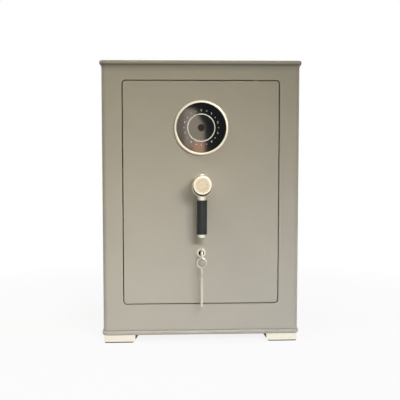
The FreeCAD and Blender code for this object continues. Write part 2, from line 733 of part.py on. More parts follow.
def foot_pad():
    """Rubber pad under a foot, open round the screw head."""
    x1 = HALF_WIDTH - FOOT_INSET - PAD_INSET
    pad_width = FOOT_WIDTH - FOOT_TAPER - 2 * PAD_INSET
    x0 = x1 - pad_width
    depth0 = FOOT_INSET + PAD_INSET
    depth1 = depth0 + pad_width
    pad = rounded_slab(x0, x1, depth0, depth1, 0, PAD_THICKNESS, FOOT_EDGE_RADIUS - PAD_INSET, Z_AXIS)
    x, depth = foot_screw_place()
    radius = FOOT_SCREW_HEAD_RADIUS + PAD_HOLE_GAP
    return pad.cut(bar(x, depth, -OVERRUN, Z_AXIS, radius, PAD_THICKNESS + 2 * OVERRUN))


def foot_screw():
    """Screw that holds a foot to the base tray."""
    x, depth = foot_screw_place()
    head_z = PAD_THICKNESS + PAD_HOLE_GAP
    head = bar(x, depth, head_z, Z_AXIS, FOOT_SCREW_HEAD_RADIUS, FOOT_SCREW_HEAD_HEIGHT)
    return head.fuse(bar(x, depth, head_z, Z_AXIS, FOOT_SCREW_RADIUS, FLOOR_Z - head_z))


def door_block(inset, depth0, depth1, radius):
    """A block with the door's outline, drawn in all round."""
    half_x = DOOR_WIDTH / 2 - inset
    half_z = DOOR_HEIGHT / 2 - inset
    z0 = DOOR_CENTRE_Z - half_z
    z1 = DOOR_CENTRE_Z + half_z
    return rounded_slab(-half_x, half_x, depth0, depth1, z0, z1, radius, Y_AXIS)


def door_plate():
    """Front plate of the door with its three bores."""
    plate = door_block(0, 0, DOOR_PLATE, DOOR_CORNER_RADIUS)
    front = [edge for edge in plate.Edges if max(abs(v.Y - FRONT_Y) for v in edge.Vertexes) < MATCH]
    plate = plate.makeFillet(DOOR_FRONT_ROUND, front)
    bush_radius = SPINDLE_RADIUS + RUN_GAP + SPINDLE_BUSH_WALL
    for z, radius in ((DIAL_Z, HOUSING_RADIUS), (HANDLE_Z, bush_radius), (LOCK_Z, BARREL_RADIUS)):
        plate = plate.cut(bar(0, -OVERRUN, z, Y_AXIS, radius + FIT_GAP, DOOR_PLATE + 2 * OVERRUN))
    return plate


def door_pan():
    """Walls behind the door plate, turned in at the back, bored for the bolt guides."""
    pan = door_block(PAN_INSET, DOOR_PLATE, PAN_BACK_DEPTH, PAN_CORNER_RADIUS)
    wall = PAN_INSET + PAN_SHEET
    inner_radius = PAN_CORNER_RADIUS - PAN_SHEET
    pan = pan.cut(door_block(wall, DOOR_PLATE - OVERRUN, PAN_BACK_DEPTH - PAN_SHEET, inner_radius))
    pan = pan.cut(door_block(wall + PAN_FLANGE, DOOR_PLATE, PAN_BACK_DEPTH + OVERRUN, inner_radius))
    for guide in bolt_guide_bars(FIT_GAP):
        pan = pan.cut(guide)
    return pan.cut(cover_screw_shanks(FIT_GAP))


def bolt_guide_bars(gap):
    """The outsides of all bolt guides, made larger by a gap."""
    side_radius = BOLT_RADIUS + RUN_GAP + GUIDE_WALL + gap
    rod_radius = ROD_BOLT_RADIUS + RUN_GAP + GUIDE_WALL + gap
    bars = []
    for z in BOLT_PLACES_Z:
        bars.append(bar(-PAN_X - GUIDE_PROUD, BOLT_DEPTH, z, X_AXIS, side_radius, GUIDE_LENGTH))
    for way in (-1, 1):
        start = DOOR_CENTRE_Z + way * (PAN_Z + GUIDE_PROUD)
        bars.append(bar(-way * ROD_OFFSET_X, ROD_MID_DEPTH, start, Z_AXIS * -way, rod_radius, GUIDE_LENGTH))
    return bars


def bolt_guides():
    """Bushes in the pan's walls in which the bolts slide."""
    bores = []
    for z in BOLT_PLACES_Z:
        bores.append(bar(-DOOR_WIDTH / 2, BOLT_DEPTH, z, X_AXIS, BOLT_RADIUS + RUN_GAP, DOOR_WIDTH / 2))
    for way in (-1, 1):
        start = DOOR_CENTRE_Z + way * DOOR_HEIGHT / 2
        radius = ROD_BOLT_RADIUS + RUN_GAP
        bores.append(bar(-way * ROD_OFFSET_X, ROD_MID_DEPTH, start, Z_AXIS * -way, radius, DOOR_HEIGHT / 2))
    return group([guide.cut(bore) for guide, bore in zip(bolt_guide_bars(0), bores)])


def fixed_bolts():
    """Fixed bolts on the hinge side that hold the shut door behind the jamb."""
    bolts = []
    for z in BOLT_PLACES_Z:
        bolt = bar(PAN_X, BOLT_DEPTH, z, X_AXIS, BOLT_RADIUS, FIXED_BOLT_REACH)
        tip = rims(bolt, BOLT_RADIUS, "x", PAN_X + FIXED_BOLT_REACH)
        bolts.append(bolt.makeFillet(BOLT_TIP_ROUND, tip))
    return group(bolts)


def side_bolts():
    """Sliding bolts on the opening side, drawn back."""
    bolts = []
    for z in BOLT_PLACES_Z:
        bolt = bar(BOLT_TIP_X, BOLT_DEPTH, z, X_AXIS, BOLT_RADIUS, BOLT_LENGTH)
        bolts.append(bolt.makeFillet(BOLT_TIP_ROUND, rims(bolt, BOLT_RADIUS, "x", BOLT_TIP_X)))
    return group(bolts)


def bolt_carriage():
    """Bar that carries the side bolts, with the arm that the crank and the lock bolt act on."""
    arm_back = ARM_FRONT_DEPTH + ARM_SHEET
    bar_z0 = BOLT_PLACES_Z[0] - CARRIAGE_BAR_MARGIN
    bar_z1 = BOLT_PLACES_Z[-1] + CARRIAGE_BAR_MARGIN
    bar_back = ARM_FRONT_DEPTH + CARRIAGE_BAR_DEPTH
    upright = slab(BOLT_REAR_X, BOLT_REAR_X + CARRIAGE_BAR, ARM_FRONT_DEPTH, bar_back, bar_z0, bar_z1)
    arm = slab(BOLT_REAR_X, ARM_TAIL_X, ARM_FRONT_DEPTH, arm_back, ARM_BOTTOM_Z, ARM_TOP_Z)
    slot_half = CRANK_PIN_RADIUS + SLIDE_GAP
    eye_half = slot_half + CRANK_EYE_WALL
    slot_top = HANDLE_Z - PIN_RISE + slot_half
    slot_bottom = HANDLE_Z - CRANK_ARM - slot_half
    eye_x = (PIN_SIDE - eye_half, PIN_SIDE + eye_half)
    eye = slab(*eye_x, ARM_FRONT_DEPTH, arm_back, ARM_BOTTOM_Z, slot_top + CRANK_EYE_WALL)
    carriage = upright.fuse(arm).fuse(eye).removeSplitter()
    cut_depths = (ARM_FRONT_DEPTH - OVERRUN, arm_back + OVERRUN)
    slot_x = (PIN_SIDE - slot_half, PIN_SIDE + slot_half)
    carriage = carriage.cut(slab(*slot_x, *cut_depths, slot_bottom, slot_top))
    notch_half = LOCK_BOLT_WIDTH / 2 + LOCK_NOTCH_GAP
    notch_bottom = ARM_TOP_Z - LOCK_BOLT_TRAVEL - LOCK_NOTCH_GAP
    for x in (LOCK_BOLT_X, LOCK_BOLT_X + BOLT_THROW):
        notch = slab(x - notch_half, x + notch_half, *cut_depths, notch_bottom, ARM_TOP_Z + OVERRUN)
        carriage = carriage.cut(notch)
    return carriage


def bolt_rod(way):
    """Rod with a bolt at its end and a slotted eye for the crank; +1 is the upper one, -1 the lower."""
    back = ROD_FRONT_DEPTH + ROD_SHEET
    slot_half = CRANK_PIN_RADIUS + SLIDE_GAP
    eye_half = slot_half + CRANK_EYE_WALL
    pin_z = HANDLE_Z - way * PIN_SIDE
    slot_ends = sorted((-way * (CRANK_ARM + slot_half), -way * (PIN_RISE - slot_half)))
    eye_ends = sorted((-way * (CRANK_ARM + eye_half), -way * (PIN_RISE - eye_half)))
    eye = slab(*eye_ends, ROD_FRONT_DEPTH, back, pin_z - eye_half, pin_z + eye_half)
    tip_z = DOOR_CENTRE_Z + way * (PAN_Z + ROD_BOLT_STANDOFF)
    rear_z = tip_z - way * ROD_BOLT_LENGTH
    strip_ends = sorted((pin_z, rear_z + way * ROD_TENON))
    strip_x = -way * ROD_OFFSET_X
    strip = slab(strip_x - ROD_WIDTH / 2, strip_x + ROD_WIDTH / 2, ROD_FRONT_DEPTH, back, *strip_ends)
    bolt = bar(strip_x, ROD_MID_DEPTH, rear_z, Z_AXIS * way, ROD_BOLT_RADIUS, ROD_BOLT_LENGTH)
    bolt = bolt.makeFillet(BOLT_TIP_ROUND, rims(bolt, ROD_BOLT_RADIUS, "z", tip_z))
    rod = eye.fuse(strip).fuse(bolt).removeSplitter()
    slot_z = (pin_z - slot_half, pin_z + slot_half)
    return rod.cut(slab(*slot_ends, ROD_FRONT_DEPTH - OVERRUN, back + OVERRUN, *slot_z))


def cover_screw_places():
    """Places of the screws along the two upright edges of the back cover."""
    x = PAN_X - PAN_SHEET - PAN_FLANGE / 2
    middle_row = (COVER_SCREW_ROWS - 1) / 2
    spacing = (PAN_Z - PAN_SHEET - PAN_FLANGE / 2) / middle_row
    places = []
    for side in (-1, 1):
        for row in range(COVER_SCREW_ROWS):
            places.append((side * x, DOOR_CENTRE_Z + (row - middle_row) * spacing))
    return places


def cover_screw_shanks(gap):
    """Shanks of the cover screws, made larger by a gap."""
    start = PAN_BACK_DEPTH - PAN_SHEET
    length = PAN_SHEET + BACK_COVER
    radius = COVER_SCREW_RADIUS + gap
    return group([bar(x, start, z, Y_AXIS, radius, length) for x, z in cover_screw_places()])


def cover_screws():
    """Screws that hold the back cover to the pan."""
    screws = []
    for shank, (x, z) in zip(cover_screw_shanks(0).Solids, cover_screw_places()):
        head = bar(x, COVER_BACK_DEPTH, z, Y_AXIS, COVER_SCREW_HEAD_RADIUS, COVER_SCREW_HEAD)
        screws.append(shank.fuse(head).removeSplitter())
    return group(screws)


def door_back_cover():
    """Sheet over the back of the door, with the battery hatch and its two slide rails."""
    cover = door_block(PAN_INSET, PAN_BACK_DEPTH, COVER_BACK_DEPTH, PAN_CORNER_RADIUS)
    lip_depth = COVER_BACK_DEPTH + BATTERY_COVER_SHEET + COVER_RAIL_GAP
    rail_z0 = BATTERY_BOX_Z - COVER_HALF_Z
    rail_z1 = BATTERY_BOX_Z + COVER_HALF_Z + BATTERY_COVER_TRAVEL
    foot_x = COVER_HALF_X + COVER_RAIL_GAP
    for side in (-1, 1):
        foot = sorted((BATTERY_BOX_X + side * foot_x, BATTERY_BOX_X + side * (foot_x + COVER_RAIL_WIDTH)))
        lip = sorted((BATTERY_BOX_X + side * (COVER_HALF_X - COVER_RAIL_LIP), foot[0 if side < 0 else 1]))
        lip_back = lip_depth + COVER_RAIL_LIP_HEIGHT
        cover = cover.fuse(slab(*foot, COVER_BACK_DEPTH, lip_back, rail_z0, rail_z1))
        cover = cover.fuse(slab(*lip, lip_depth, lip_back, rail_z0, rail_z1))
    cover = cover.removeSplitter()
    hatch_x = BATTERY_BOX_HALF_X - BATTERY_BOX_WALL
    hatch_z = BATTERY_BOX_HALF_Z - BATTERY_BOX_WALL
    depths = (PAN_BACK_DEPTH - OVERRUN, COVER_BACK_DEPTH + OVERRUN)
    sides = (BATTERY_BOX_X - hatch_x, BATTERY_BOX_X + hatch_x)
    cover = cover.cut(slab(*sides, *depths, BATTERY_BOX_Z - hatch_z, BATTERY_BOX_Z + hatch_z))
    hole_length = BACK_COVER + 2 * OVERRUN
    cover = cover.cut(bar(RESET_X, depths[0], RESET_Z, Y_AXIS, RESET_RADIUS + SLIDE_GAP, hole_length))
    return cover.cut(cover_screw_shanks(FIT_GAP))


def battery_box():
    """Tray for the batteries, open towards the hatch."""
    x0 = BATTERY_BOX_X - BATTERY_BOX_HALF_X
    x1 = BATTERY_BOX_X + BATTERY_BOX_HALF_X
    z0 = BATTERY_BOX_Z - BATTERY_BOX_HALF_Z
    z1 = BATTERY_BOX_Z + BATTERY_BOX_HALF_Z
    wall = BATTERY_BOX_WALL
    box = slab(x0, x1, BATTERY_BOX_FRONT_DEPTH, PAN_BACK_DEPTH, z0, z1)
    depths = (BATTERY_BOX_FRONT_DEPTH + wall, PAN_BACK_DEPTH + OVERRUN)
    return box.cut(slab(x0 + wall, x1 - wall, *depths, z0 + wall, z1 - wall))


def batteries():
    """Cells side by side, turned about in pairs."""
    depth = BATTERY_BOX_FRONT_DEPTH + BATTERY_BOX_WALL + BATTERY_RADIUS + FIT_GAP
    cells = []
    for cell in range(BATTERY_CELLS):
        x = BATTERY_BOX_X + (cell - (BATTERY_CELLS - 1) / 2) * BATTERY_PITCH
        way = 1 if cell % 2 else -1
        start = BATTERY_BOX_Z - way * BATTERY_LENGTH / 2
        length = BATTERY_LENGTH + BATTERY_TIP_LENGTH
        can = bar(x, depth, start, Z_AXIS * way, BATTERY_RADIUS, BATTERY_LENGTH)
        tip = bar(x, depth, start, Z_AXIS * way, BATTERY_TIP_RADIUS, length)
        cells.append(can.fuse(tip).removeSplitter())
    return group(cells)


def battery_cover():
    """Sliding cover of the battery hatch, ribbed for the thumb."""
    depth1 = COVER_BACK_DEPTH + BATTERY_COVER_SHEET
    x0 = BATTERY_BOX_X - COVER_HALF_X
    x1 = BATTERY_BOX_X + COVER_HALF_X
    z0 = BATTERY_BOX_Z - COVER_HALF_Z
    cover = slab(x0, x1, COVER_BACK_DEPTH, depth1, z0, BATTERY_BOX_Z + COVER_HALF_Z)
    rib_half = COVER_HALF_X / 2
    for rib in range(BATTERY_COVER_RIBS):
        rib_z = z0 + (rib + 1) * BATTERY_COVER_RIB_PITCH
        ends = (BATTERY_BOX_X - rib_half, BATTERY_BOX_X + rib_half)
        cover = cover.fuse(slab(*ends, depth1, depth1 + BATTERY_COVER_RIB, rib_z, rib_z + BATTERY_COVER_RIB))
    return cover.removeSplitter()


def reset_switch():
    """Switch body behind the back cover that guides the reset button."""
    button_end = COVER_BACK_DEPTH + RESET_PROUD - RESET_LENGTH
    floor_back = button_end - RESET_TRAVEL - SLIDE_GAP
    start = floor_back - RESET_SWITCH_FLOOR
    body = bar(RESET_X, start, RESET_Z, Y_AXIS, RESET_SWITCH_RADIUS, PAN_BACK_DEPTH - start)
    bore_length = PAN_BACK_DEPTH - floor_back + OVERRUN
    return body.cut(bar(RESET_X, floor_back, RESET_Z, Y_AXIS, RESET_RADIUS + RUN_GAP, bore_length))


def reset_button():
    """Push button that sets a new fingerprint or code."""
    start = COVER_BACK_DEPTH + RESET_PROUD - RESET_LENGTH
    return bar(RESET_X, start, RESET_Z, Y_AXIS, RESET_RADIUS, RESET_LENGTH)


def keypad_bezel():
    """Pale metal ring round the keypad glass."""
    inner = GLASS_RADIUS + FIT_GAP
    ring = tube(0, -BEZEL_HEIGHT, DIAL_Z, Y_AXIS, BEZEL_RADIUS, inner, BEZEL_HEIGHT)
    front_y = FRONT_Y - BEZEL_HEIGHT
    ring = ring.makeFillet(BEZEL_ROUND, rims(ring, BEZEL_RADIUS, "y", front_y))
    return ring.makeFillet(BEZEL_INNER_ROUND, rims(ring, inner, "y", front_y))


def touch_glass():
    """Dark glass disc, bored for the fingerprint sensor."""
    glass = tube(0, GLASS_FRONT_DEPTH, DIAL_Z, Y_AXIS, GLASS_RADIUS, SENSOR_RADIUS + FIT_GAP, GLASS_THICKNESS)
    rim = rims(glass, GLASS_RADIUS, "y", FRONT_Y + GLASS_FRONT_DEPTH)
    return glass.makeFillet(GLASS_EDGE_ROUND, rim)


def fingerprint_sensor():
    """Round sensor with a shallow hollow for the finger."""
    front = GLASS_FRONT_DEPTH - SENSOR_PROUD
    inner = SENSOR_RADIUS - 2 * SENSOR_RIM
    outer = SENSOR_RADIUS - SENSOR_RIM
    dish = front + SENSOR_DISH
    profile = [(0, dish), (inner, dish), (outer, front), (SENSOR_RADIUS, front)]
    return turned(0, DIAL_Z, profile + [(SENSOR_RADIUS, -HOUSING_FLANGE), (0, -HOUSING_FLANGE)])


def board_front_depth():
    """Depth of the circuit board's front."""
    return HOUSING_LENGTH - BOARD_RECESS - BOARD_THICKNESS


def keypad_housing():
    """Cup behind the glass that passes through the door, with posts for the circuit board."""
    bore = HOUSING_RADIUS - HOUSING_WALL
    flange = bar(0, -HOUSING_FLANGE, DIAL_Z, Y_AXIS, GLASS_RADIUS, HOUSING_FLANGE)
    cup_length = HOUSING_FLANGE + HOUSING_LENGTH
    cup = flange.fuse(bar(0, -HOUSING_FLANGE, DIAL_Z, Y_AXIS, HOUSING_RADIUS, cup_length))
    cup = cup.cut(bar(0, HOUSING_FLOOR, DIAL_Z, Y_AXIS, bore, HOUSING_LENGTH))
    for post in range(BOARD_POSTS):
        angle = math.radians(45) + post * 2 * math.pi / BOARD_POSTS
        x = BOARD_POST_RING_RADIUS * math.cos(angle)
        z = DIAL_Z + BOARD_POST_RING_RADIUS * math.sin(angle)
        cup = cup.fuse(bar(x, 0, z, Y_AXIS, BOARD_POST_RADIUS, board_front_depth()))
    return cup.removeSplitter()


def keypad_circuit_board():
    """Round circuit board on the housing's posts."""
    radius = HOUSING_RADIUS - HOUSING_WALL - SLIDE_GAP
    return bar(0, board_front_depth(), DIAL_Z, Y_AXIS, radius, BOARD_THICKNESS)


def keypad_lead():
    """Lead from the keypad down to the electric lock."""
    bend_start = place(LEAD_X - LEAD_BEND_RADIUS, LEAD_DEPTH, DIAL_Z)
    bend_end = place(LEAD_X, LEAD_DEPTH, DIAL_Z - LEAD_BEND_RADIUS)
    short = LEAD_BEND_RADIUS * (1 - math.sin(math.radians(45)))
    bend_mid = place(LEAD_X - short, LEAD_DEPTH, DIAL_Z - short)
    start = place(HOUSING_RADIUS, LEAD_DEPTH, DIAL_Z)
    finish = place(LEAD_X, LEAD_DEPTH, LOCK_CASE_TOP_Z)
    path = Part.Wire([
        Part.LineSegment(start, bend_start).toShape(),
        Part.Arc(bend_start, bend_mid, bend_end).toShape(),
        Part.LineSegment(bend_end, finish).toShape(),
    ])
    section = Part.Wire(Part.makeCircle(LEAD_RADIUS, start, X_AXIS))
    return path.makePipeShell([section], True, True)


def battery_lead():
    """Straight lead from the battery box up to the electric lock."""
    start = BATTERY_BOX_Z + BATTERY_BOX_HALF_Z
    return bar(BATTERY_LEAD_X, BATTERY_LEAD_DEPTH, start, Z_AXIS, LEAD_RADIUS, LOCK_CASE_BOTTOM_Z - start)


def lock_case():
    """Case of the electric lock on the back of the door plate, slotted for its bolt."""
    x1 = LOCK_CASE_X + LOCK_CASE_WIDTH
    back = DOOR_PLATE + LOCK_CASE_LENGTH
    wall = LOCK_CASE_WALL
    case = slab(LOCK_CASE_X, x1, DOOR_PLATE, back, LOCK_CASE_BOTTOM_Z, LOCK_CASE_TOP_Z)
    hollow_z = (LOCK_CASE_BOTTOM_Z + wall, LOCK_CASE_TOP_Z - wall)
    case = case.cut(slab(LOCK_CASE_X + wall, x1 - wall, DOOR_PLATE + wall, back - wall, *hollow_z))
    half = LOCK_BOLT_WIDTH / 2 + RUN_GAP
    depths = (ARM_FRONT_DEPTH - RUN_GAP, ARM_FRONT_DEPTH + ARM_SHEET + RUN_GAP)
    slot_z = (LOCK_CASE_BOTTOM_Z - OVERRUN, LOCK_CASE_BOTTOM_Z + wall + OVERRUN)
    return case.cut(slab(LOCK_BOLT_X - half, LOCK_BOLT_X + half, *depths, *slot_z))


def lock_bolt():
    """Bolt of the electric lock, drawn up clear of the carriage."""
    half = LOCK_BOLT_WIDTH / 2
    z0 = ARM_TOP_Z + LOCK_BOLT_TIP_GAP
    depths = (ARM_FRONT_DEPTH, ARM_FRONT_DEPTH + ARM_SHEET)
    return slab(LOCK_BOLT_X - half, LOCK_BOLT_X + half, *depths, z0, z0 + LOCK_BOLT_ROOT)


def handle_hub():
    """Hub of the lever handle, set towards the lever, bored for its spindle and across for the lever."""
    middle = HANDLE_Z - HUB_DROP
    hub = bar(0, HUB_FRONT_DEPTH, middle, Y_AXIS, HUB_RADIUS, HUB_LENGTH)
    hub = hub.makeFillet(HUB_ROUND, rims(hub, HUB_RADIUS, "y", FRONT_Y + HUB_FRONT_DEPTH))
    hub = hub.cut(bar(0, -SPINDLE_ROOT, HANDLE_Z, Y_AXIS, SPINDLE_RADIUS + FIT_GAP, SPINDLE_ROOT + OVERRUN))
    length = 2 * (HUB_RADIUS + OVERRUN)
    return hub.cut(bar(0, -LEVER_DEPTH, middle - length / 2, Z_AXIS, SLEEVE_RADIUS + FIT_GAP, length))


def handle_cap():
    """Front disc of the handle with turned steps, on a narrower neck."""
    front = CAP_BACK_DEPTH - CAP_LENGTH
    step = front + CAP_STEP_DEPTH
    dish = step + CAP_STEP_DEPTH
    profile = [(0, dish), (CAP_DISH_RADIUS, dish), (CAP_DISH_RADIUS, step), (CAP_STEP_RADIUS, step)]
    profile += [(CAP_STEP_RADIUS, front), (CAP_RADIUS, front), (CAP_RADIUS, CAP_BACK_DEPTH)]
    profile += [(CAP_NECK_RADIUS, CAP_BACK_DEPTH), (CAP_NECK_RADIUS, HUB_FRONT_DEPTH), (0, HUB_FRONT_DEPTH)]
    cap = turned(0, HANDLE_Z, profile)
    return cap.makeFillet(CAP_ROUND, rims(cap, CAP_RADIUS, "y", FRONT_Y + front))


def lever_sleeve():
    """Metal sleeve across the hub that ends in a stub above and a collar below."""
    length = SLEEVE_TOP + SLEEVE_BOTTOM
    sleeve = bar(0, -LEVER_DEPTH, GRIP_TOP_Z, Z_AXIS, SLEEVE_RADIUS, length)
    sleeve = sleeve.makeFillet(SLEEVE_ROUND, rims(sleeve, SLEEVE_RADIUS, "z", HANDLE_Z + SLEEVE_TOP))
    bore_length = OVERRUN + LEVER_ROD_ROOT
    bore = bar(0, -LEVER_DEPTH, GRIP_TOP_Z - OVERRUN, Z_AXIS, LEVER_ROD_RADIUS + FIT_GAP, bore_length)
    return sleeve.cut(bore)


def lever_rod():
    """Steel rod inside the grip."""
    start = GRIP_BOTTOM_Z - END_CAP_LENGTH / 2
    return bar(0, -LEVER_DEPTH, start, Z_AXIS, LEVER_ROD_RADIUS, GRIP_TOP_Z + LEVER_ROD_ROOT - start)


def lever_grip():
    """Black grip over the lever rod."""
    inner = LEVER_ROD_RADIUS + FIT_GAP
    grip = tube(0, -LEVER_DEPTH, GRIP_BOTTOM_Z, Z_AXIS, GRIP_RADIUS, inner, GRIP_LENGTH)
    ends = rims(grip, GRIP_RADIUS, "z", GRIP_BOTTOM_Z) + rims(grip, GRIP_RADIUS, "z", GRIP_TOP_Z)
    return grip.makeFillet(GRIP_ROUND, ends)


def lever_end_cap():
    """Metal cap at the end of the lever."""
    start = GRIP_BOTTOM_Z - END_CAP_LENGTH
    cap = bar(0, -LEVER_DEPTH, start, Z_AXIS, END_CAP_RADIUS, END_CAP_LENGTH)
    cap = cap.makeFillet(END_CAP_ROUND, rims(cap, END_CAP_RADIUS, "z", start))
    bore_start = GRIP_BOTTOM_Z - END_CAP_LENGTH / 2
    return cap.cut(bar(0, -LEVER_DEPTH, bore_start, Z_AXIS, LEVER_ROD_RADIUS + FIT_GAP, END_CAP_LENGTH))


def handle_spindle():
    """Shaft that carries the handle's turn through the door to the crank."""
    length = SPINDLE_ROOT + CRANK_FRONT_DEPTH + CRANK_SHEET
    return bar(0, -SPINDLE_ROOT, HANDLE_Z, Y_AXIS, SPINDLE_RADIUS, length)


def spindle_bush():
    """Flanged bush of the spindle in the door plate."""
    inner = SPINDLE_RADIUS + RUN_GAP
    outer = inner + SPINDLE_BUSH_WALL
    flange = outer + SPINDLE_BUSH_FLANGE
    end = DOOR_PLATE + SPINDLE_BUSH_FLANGE_LENGTH
    profile = [(inner, 0), (outer, 0), (outer, DOOR_PLATE), (flange, DOOR_PLATE), (flange, end), (inner, end)]
    return turned(0, HANDLE_Z, profile)


def crank_disc():
    """Disc on the spindle with the three pins that drive the bolts."""
    start = CRANK_FRONT_DEPTH
    disc = tube(0, start, HANDLE_Z, Y_AXIS, CRANK_RADIUS, SPINDLE_RADIUS + FIT_GAP, CRANK_SHEET)
    arm_end = ARM_FRONT_DEPTH + ARM_SHEET + SLIDE_GAP
    rod_end = ROD_FRONT_DEPTH + ROD_SHEET + SLIDE_GAP
    pins = [(PIN_SIDE, -PIN_RISE, arm_end), (-PIN_RISE, -PIN_SIDE, rod_end), (PIN_RISE, PIN_SIDE, rod_end)]
    for x, rise, end in pins:
        disc = disc.fuse(bar(x, start, HANDLE_Z + rise, Y_AXIS, CRANK_PIN_RADIUS, end - start))
    return disc.removeSplitter()


def lock_barrel():
    """Body of the key lock with its round front flange."""
    inner = PLUG_RADIUS + RUN_GAP
    front = -ESCUTCHEON_HEIGHT
    profile = [(inner, front), (ESCUTCHEON_RADIUS, front), (ESCUTCHEON_RADIUS, 0), (BARREL_RADIUS, 0)]
    barrel = turned(0, LOCK_Z, profile + [(BARREL_RADIUS, BARREL_LENGTH), (inner, BARREL_LENGTH)])
    return barrel.makeFillet(ESCUTCHEON_ROUND, rims(barrel, ESCUTCHEON_RADIUS, "y", FRONT_Y + front))


def key_tip_depth():
    """Depth of the inserted key's tip."""
    return KEY_BOW_RADIUS - KEY_BOW_DEPTH + KEY_SHANK_LENGTH + KEY_BIT_LENGTH


def key_plug():
    """Turning plug of the key lock, slotted for the key."""
    front = -ESCUTCHEON_HEIGHT - PLUG_PROUD
    end = CAM_FRONT_DEPTH + CAM_SHEET
    plug = bar(0, front, LOCK_Z, Y_AXIS, PLUG_RADIUS, end - front)
    half_x = KEY_BIT_THICKNESS / 2 + KEY_SLOT_GAP
    half_z = KEY_BIT_HEIGHT / 2 + KEY_SLOT_GAP
    slot_end = key_tip_depth() + KEY_SLOT_GAP
    slot = slab(-half_x, half_x, front - OVERRUN, slot_end, LOCK_Z - half_z, LOCK_Z + half_z)
    bore_radius = KEY_SHANK_RADIUS + KEY_SLOT_GAP
    bore = bar(0, front - OVERRUN, LOCK_Z, Y_AXIS, bore_radius, slot_end - front + OVERRUN)
    return plug.cut(slot.fuse(bore))


def key_cam():
    """Cam on the end of the plug."""
    half = CAM_WIDTH / 2
    depths = (CAM_FRONT_DEPTH, CAM_FRONT_DEPTH + CAM_SHEET)
    root = bar(0, CAM_FRONT_DEPTH, LOCK_Z, Y_AXIS, PLUG_RADIUS + CAM_WALL, CAM_SHEET)
    cam = root.fuse(slab(-half, half, *depths, LOCK_Z, LOCK_Z + CAM_REACH)).removeSplitter()
    bore_length = CAM_SHEET + 2 * OVERRUN
    return cam.cut(bar(0, depths[0] - OVERRUN, LOCK_Z, Y_AXIS, PLUG_RADIUS + FIT_GAP, bore_length))


def door_key():
    """Double-bit key with an open ring bow, as it stands in the lock."""
    middle = place(0, -KEY_BOW_DEPTH, LOCK_Z)
    bow = Part.makeTorus(BOW_RING_RADIUS, KEY_BOW_WIRE_RADIUS, middle, X_AXIS)
    shank_start = BOW_RING_RADIUS - KEY_BOW_DEPTH
    bit_start = key_tip_depth() - KEY_BIT_LENGTH
    shank = bar(0, shank_start, LOCK_Z, Y_AXIS, KEY_SHANK_RADIUS, key_tip_depth() - shank_start)
    half_x = KEY_BIT_THICKNESS / 2
    half_z = KEY_BIT_HEIGHT / 2
    bit = slab(-half_x, half_x, bit_start, key_tip_depth(), LOCK_Z - half_z, LOCK_Z + half_z)
    pitch = KEY_BIT_LENGTH / (2 * KEY_NOTCHES + 1)
    for notch in range(KEY_NOTCHES):
        notch_start = bit_start + (2 * notch + 1) * pitch
        for way in (-1, 1):
            ends = sorted((LOCK_Z + way * (half_z - KEY_NOTCH_DEPTH), LOCK_Z + way * (half_z + OVERRUN)))
            bit = bit.cut(slab(-half_z, half_z, notch_start, notch_start + pitch, *ends))
    return bow.fuse(shank).fuse(bit).removeSplitter()


def key_ring():
    """Wire ring that hangs in the bow of the key."""
    return Part.makeTorus(RING_MID_RADIUS, RING_WIRE_RADIUS, place(0, -KEY_BOW_DEPTH, RING_Z), Y_AXIS)


def spare_key():
    """Second key, hanging straight down from the ring."""
    key = door_key()
    key.rotate(place(0, -KEY_BOW_DEPTH, LOCK_Z), X_AXIS, -90)
    key.translate(V(0, 0, SPARE_BOW_Z - LOCK_Z))
    return key


PIECES = {
    "front_frame": front_frame(),
    "door_jamb": door_jamb(),
    "left_side_panel": mirrored(side_panel()),
    "right_side_panel": side_panel(),
    "back_panel": back_panel(),
    "top_cap": top_cap(),
    "base_tray": base_tray(),
    "side_linings": group([side_lining(), mirrored(side_lining())]),
    "back_lining": back_lining(),
    "ceiling_lining": ceiling_lining(),
    "floor_mat": floor_mat(),
    "shelf": shelf(),
    "shelf_rails": group([shelf_rail(), mirrored(shelf_rail())]),
    "door_stops": door_stops(),
    "hinge_bushes": hinge_bushes(),
    "foot_blocks": group(four_corners(foot_block())),
    "foot_trims": group(four_corners(foot_trim())),
    "foot_pads": group(four_corners(foot_pad())),
    "foot_screws": group(four_corners(foot_screw())),
    "door_plate": door_plate(),
    "door_pan": door_pan(),
    "door_back_cover": door_back_cover(),
    "cover_screws": cover_screws(),
    "hinge_lugs": hinge_lugs(),
    "hinge_pins": hinge_pins(),
    "fixed_bolts": fixed_bolts(),
    "bolt_guides": bolt_guides(),
    "keypad_bezel": keypad_bezel(),
    "touch_glass": touch_glass(),
    "fingerprint_sensor": fingerprint_sensor(),
    "keypad_housing": keypad_housing(),
    "keypad_circuit_board": keypad_circuit_board(),
    "keypad_lead": keypad_lead(),
    "battery_lead": battery_lead(),
    "spindle_bush": spindle_bush(),
    "lock_case": lock_case(),
    "lock_bolt": lock_bolt(),
    "battery_box": battery_box(),
    "batteries": batteries(),
    "battery_cover": battery_cover(),
    "reset_switch": reset_switch(),
    "reset_button": reset_button(),
    "handle_hub": handle_hub(),
    "handle_cap": handle_cap(),
    "lever_sleeve": lever_sleeve(),
    "lever_rod": lever_rod(),
    "lever_grip": lever_grip(),
    "lever_end_cap": lever_end_cap(),
    "handle_spindle": handle_spindle(),
    "crank_disc": crank_disc(),
    "bolt_carriage": bolt_carriage(),
    "side_bolts": side_bolts(),
    "top_bolt_rod": bolt_rod(1),
    "bottom_bolt_rod": bolt_rod(-1),
    "lock_barrel": lock_barrel(),
    "key_plug": key_plug(),
    "key_cam": key_cam(),
    "door_key": door_key(),
    "key_ring": key_ring(),
    "spare_key": spare_key(),
}

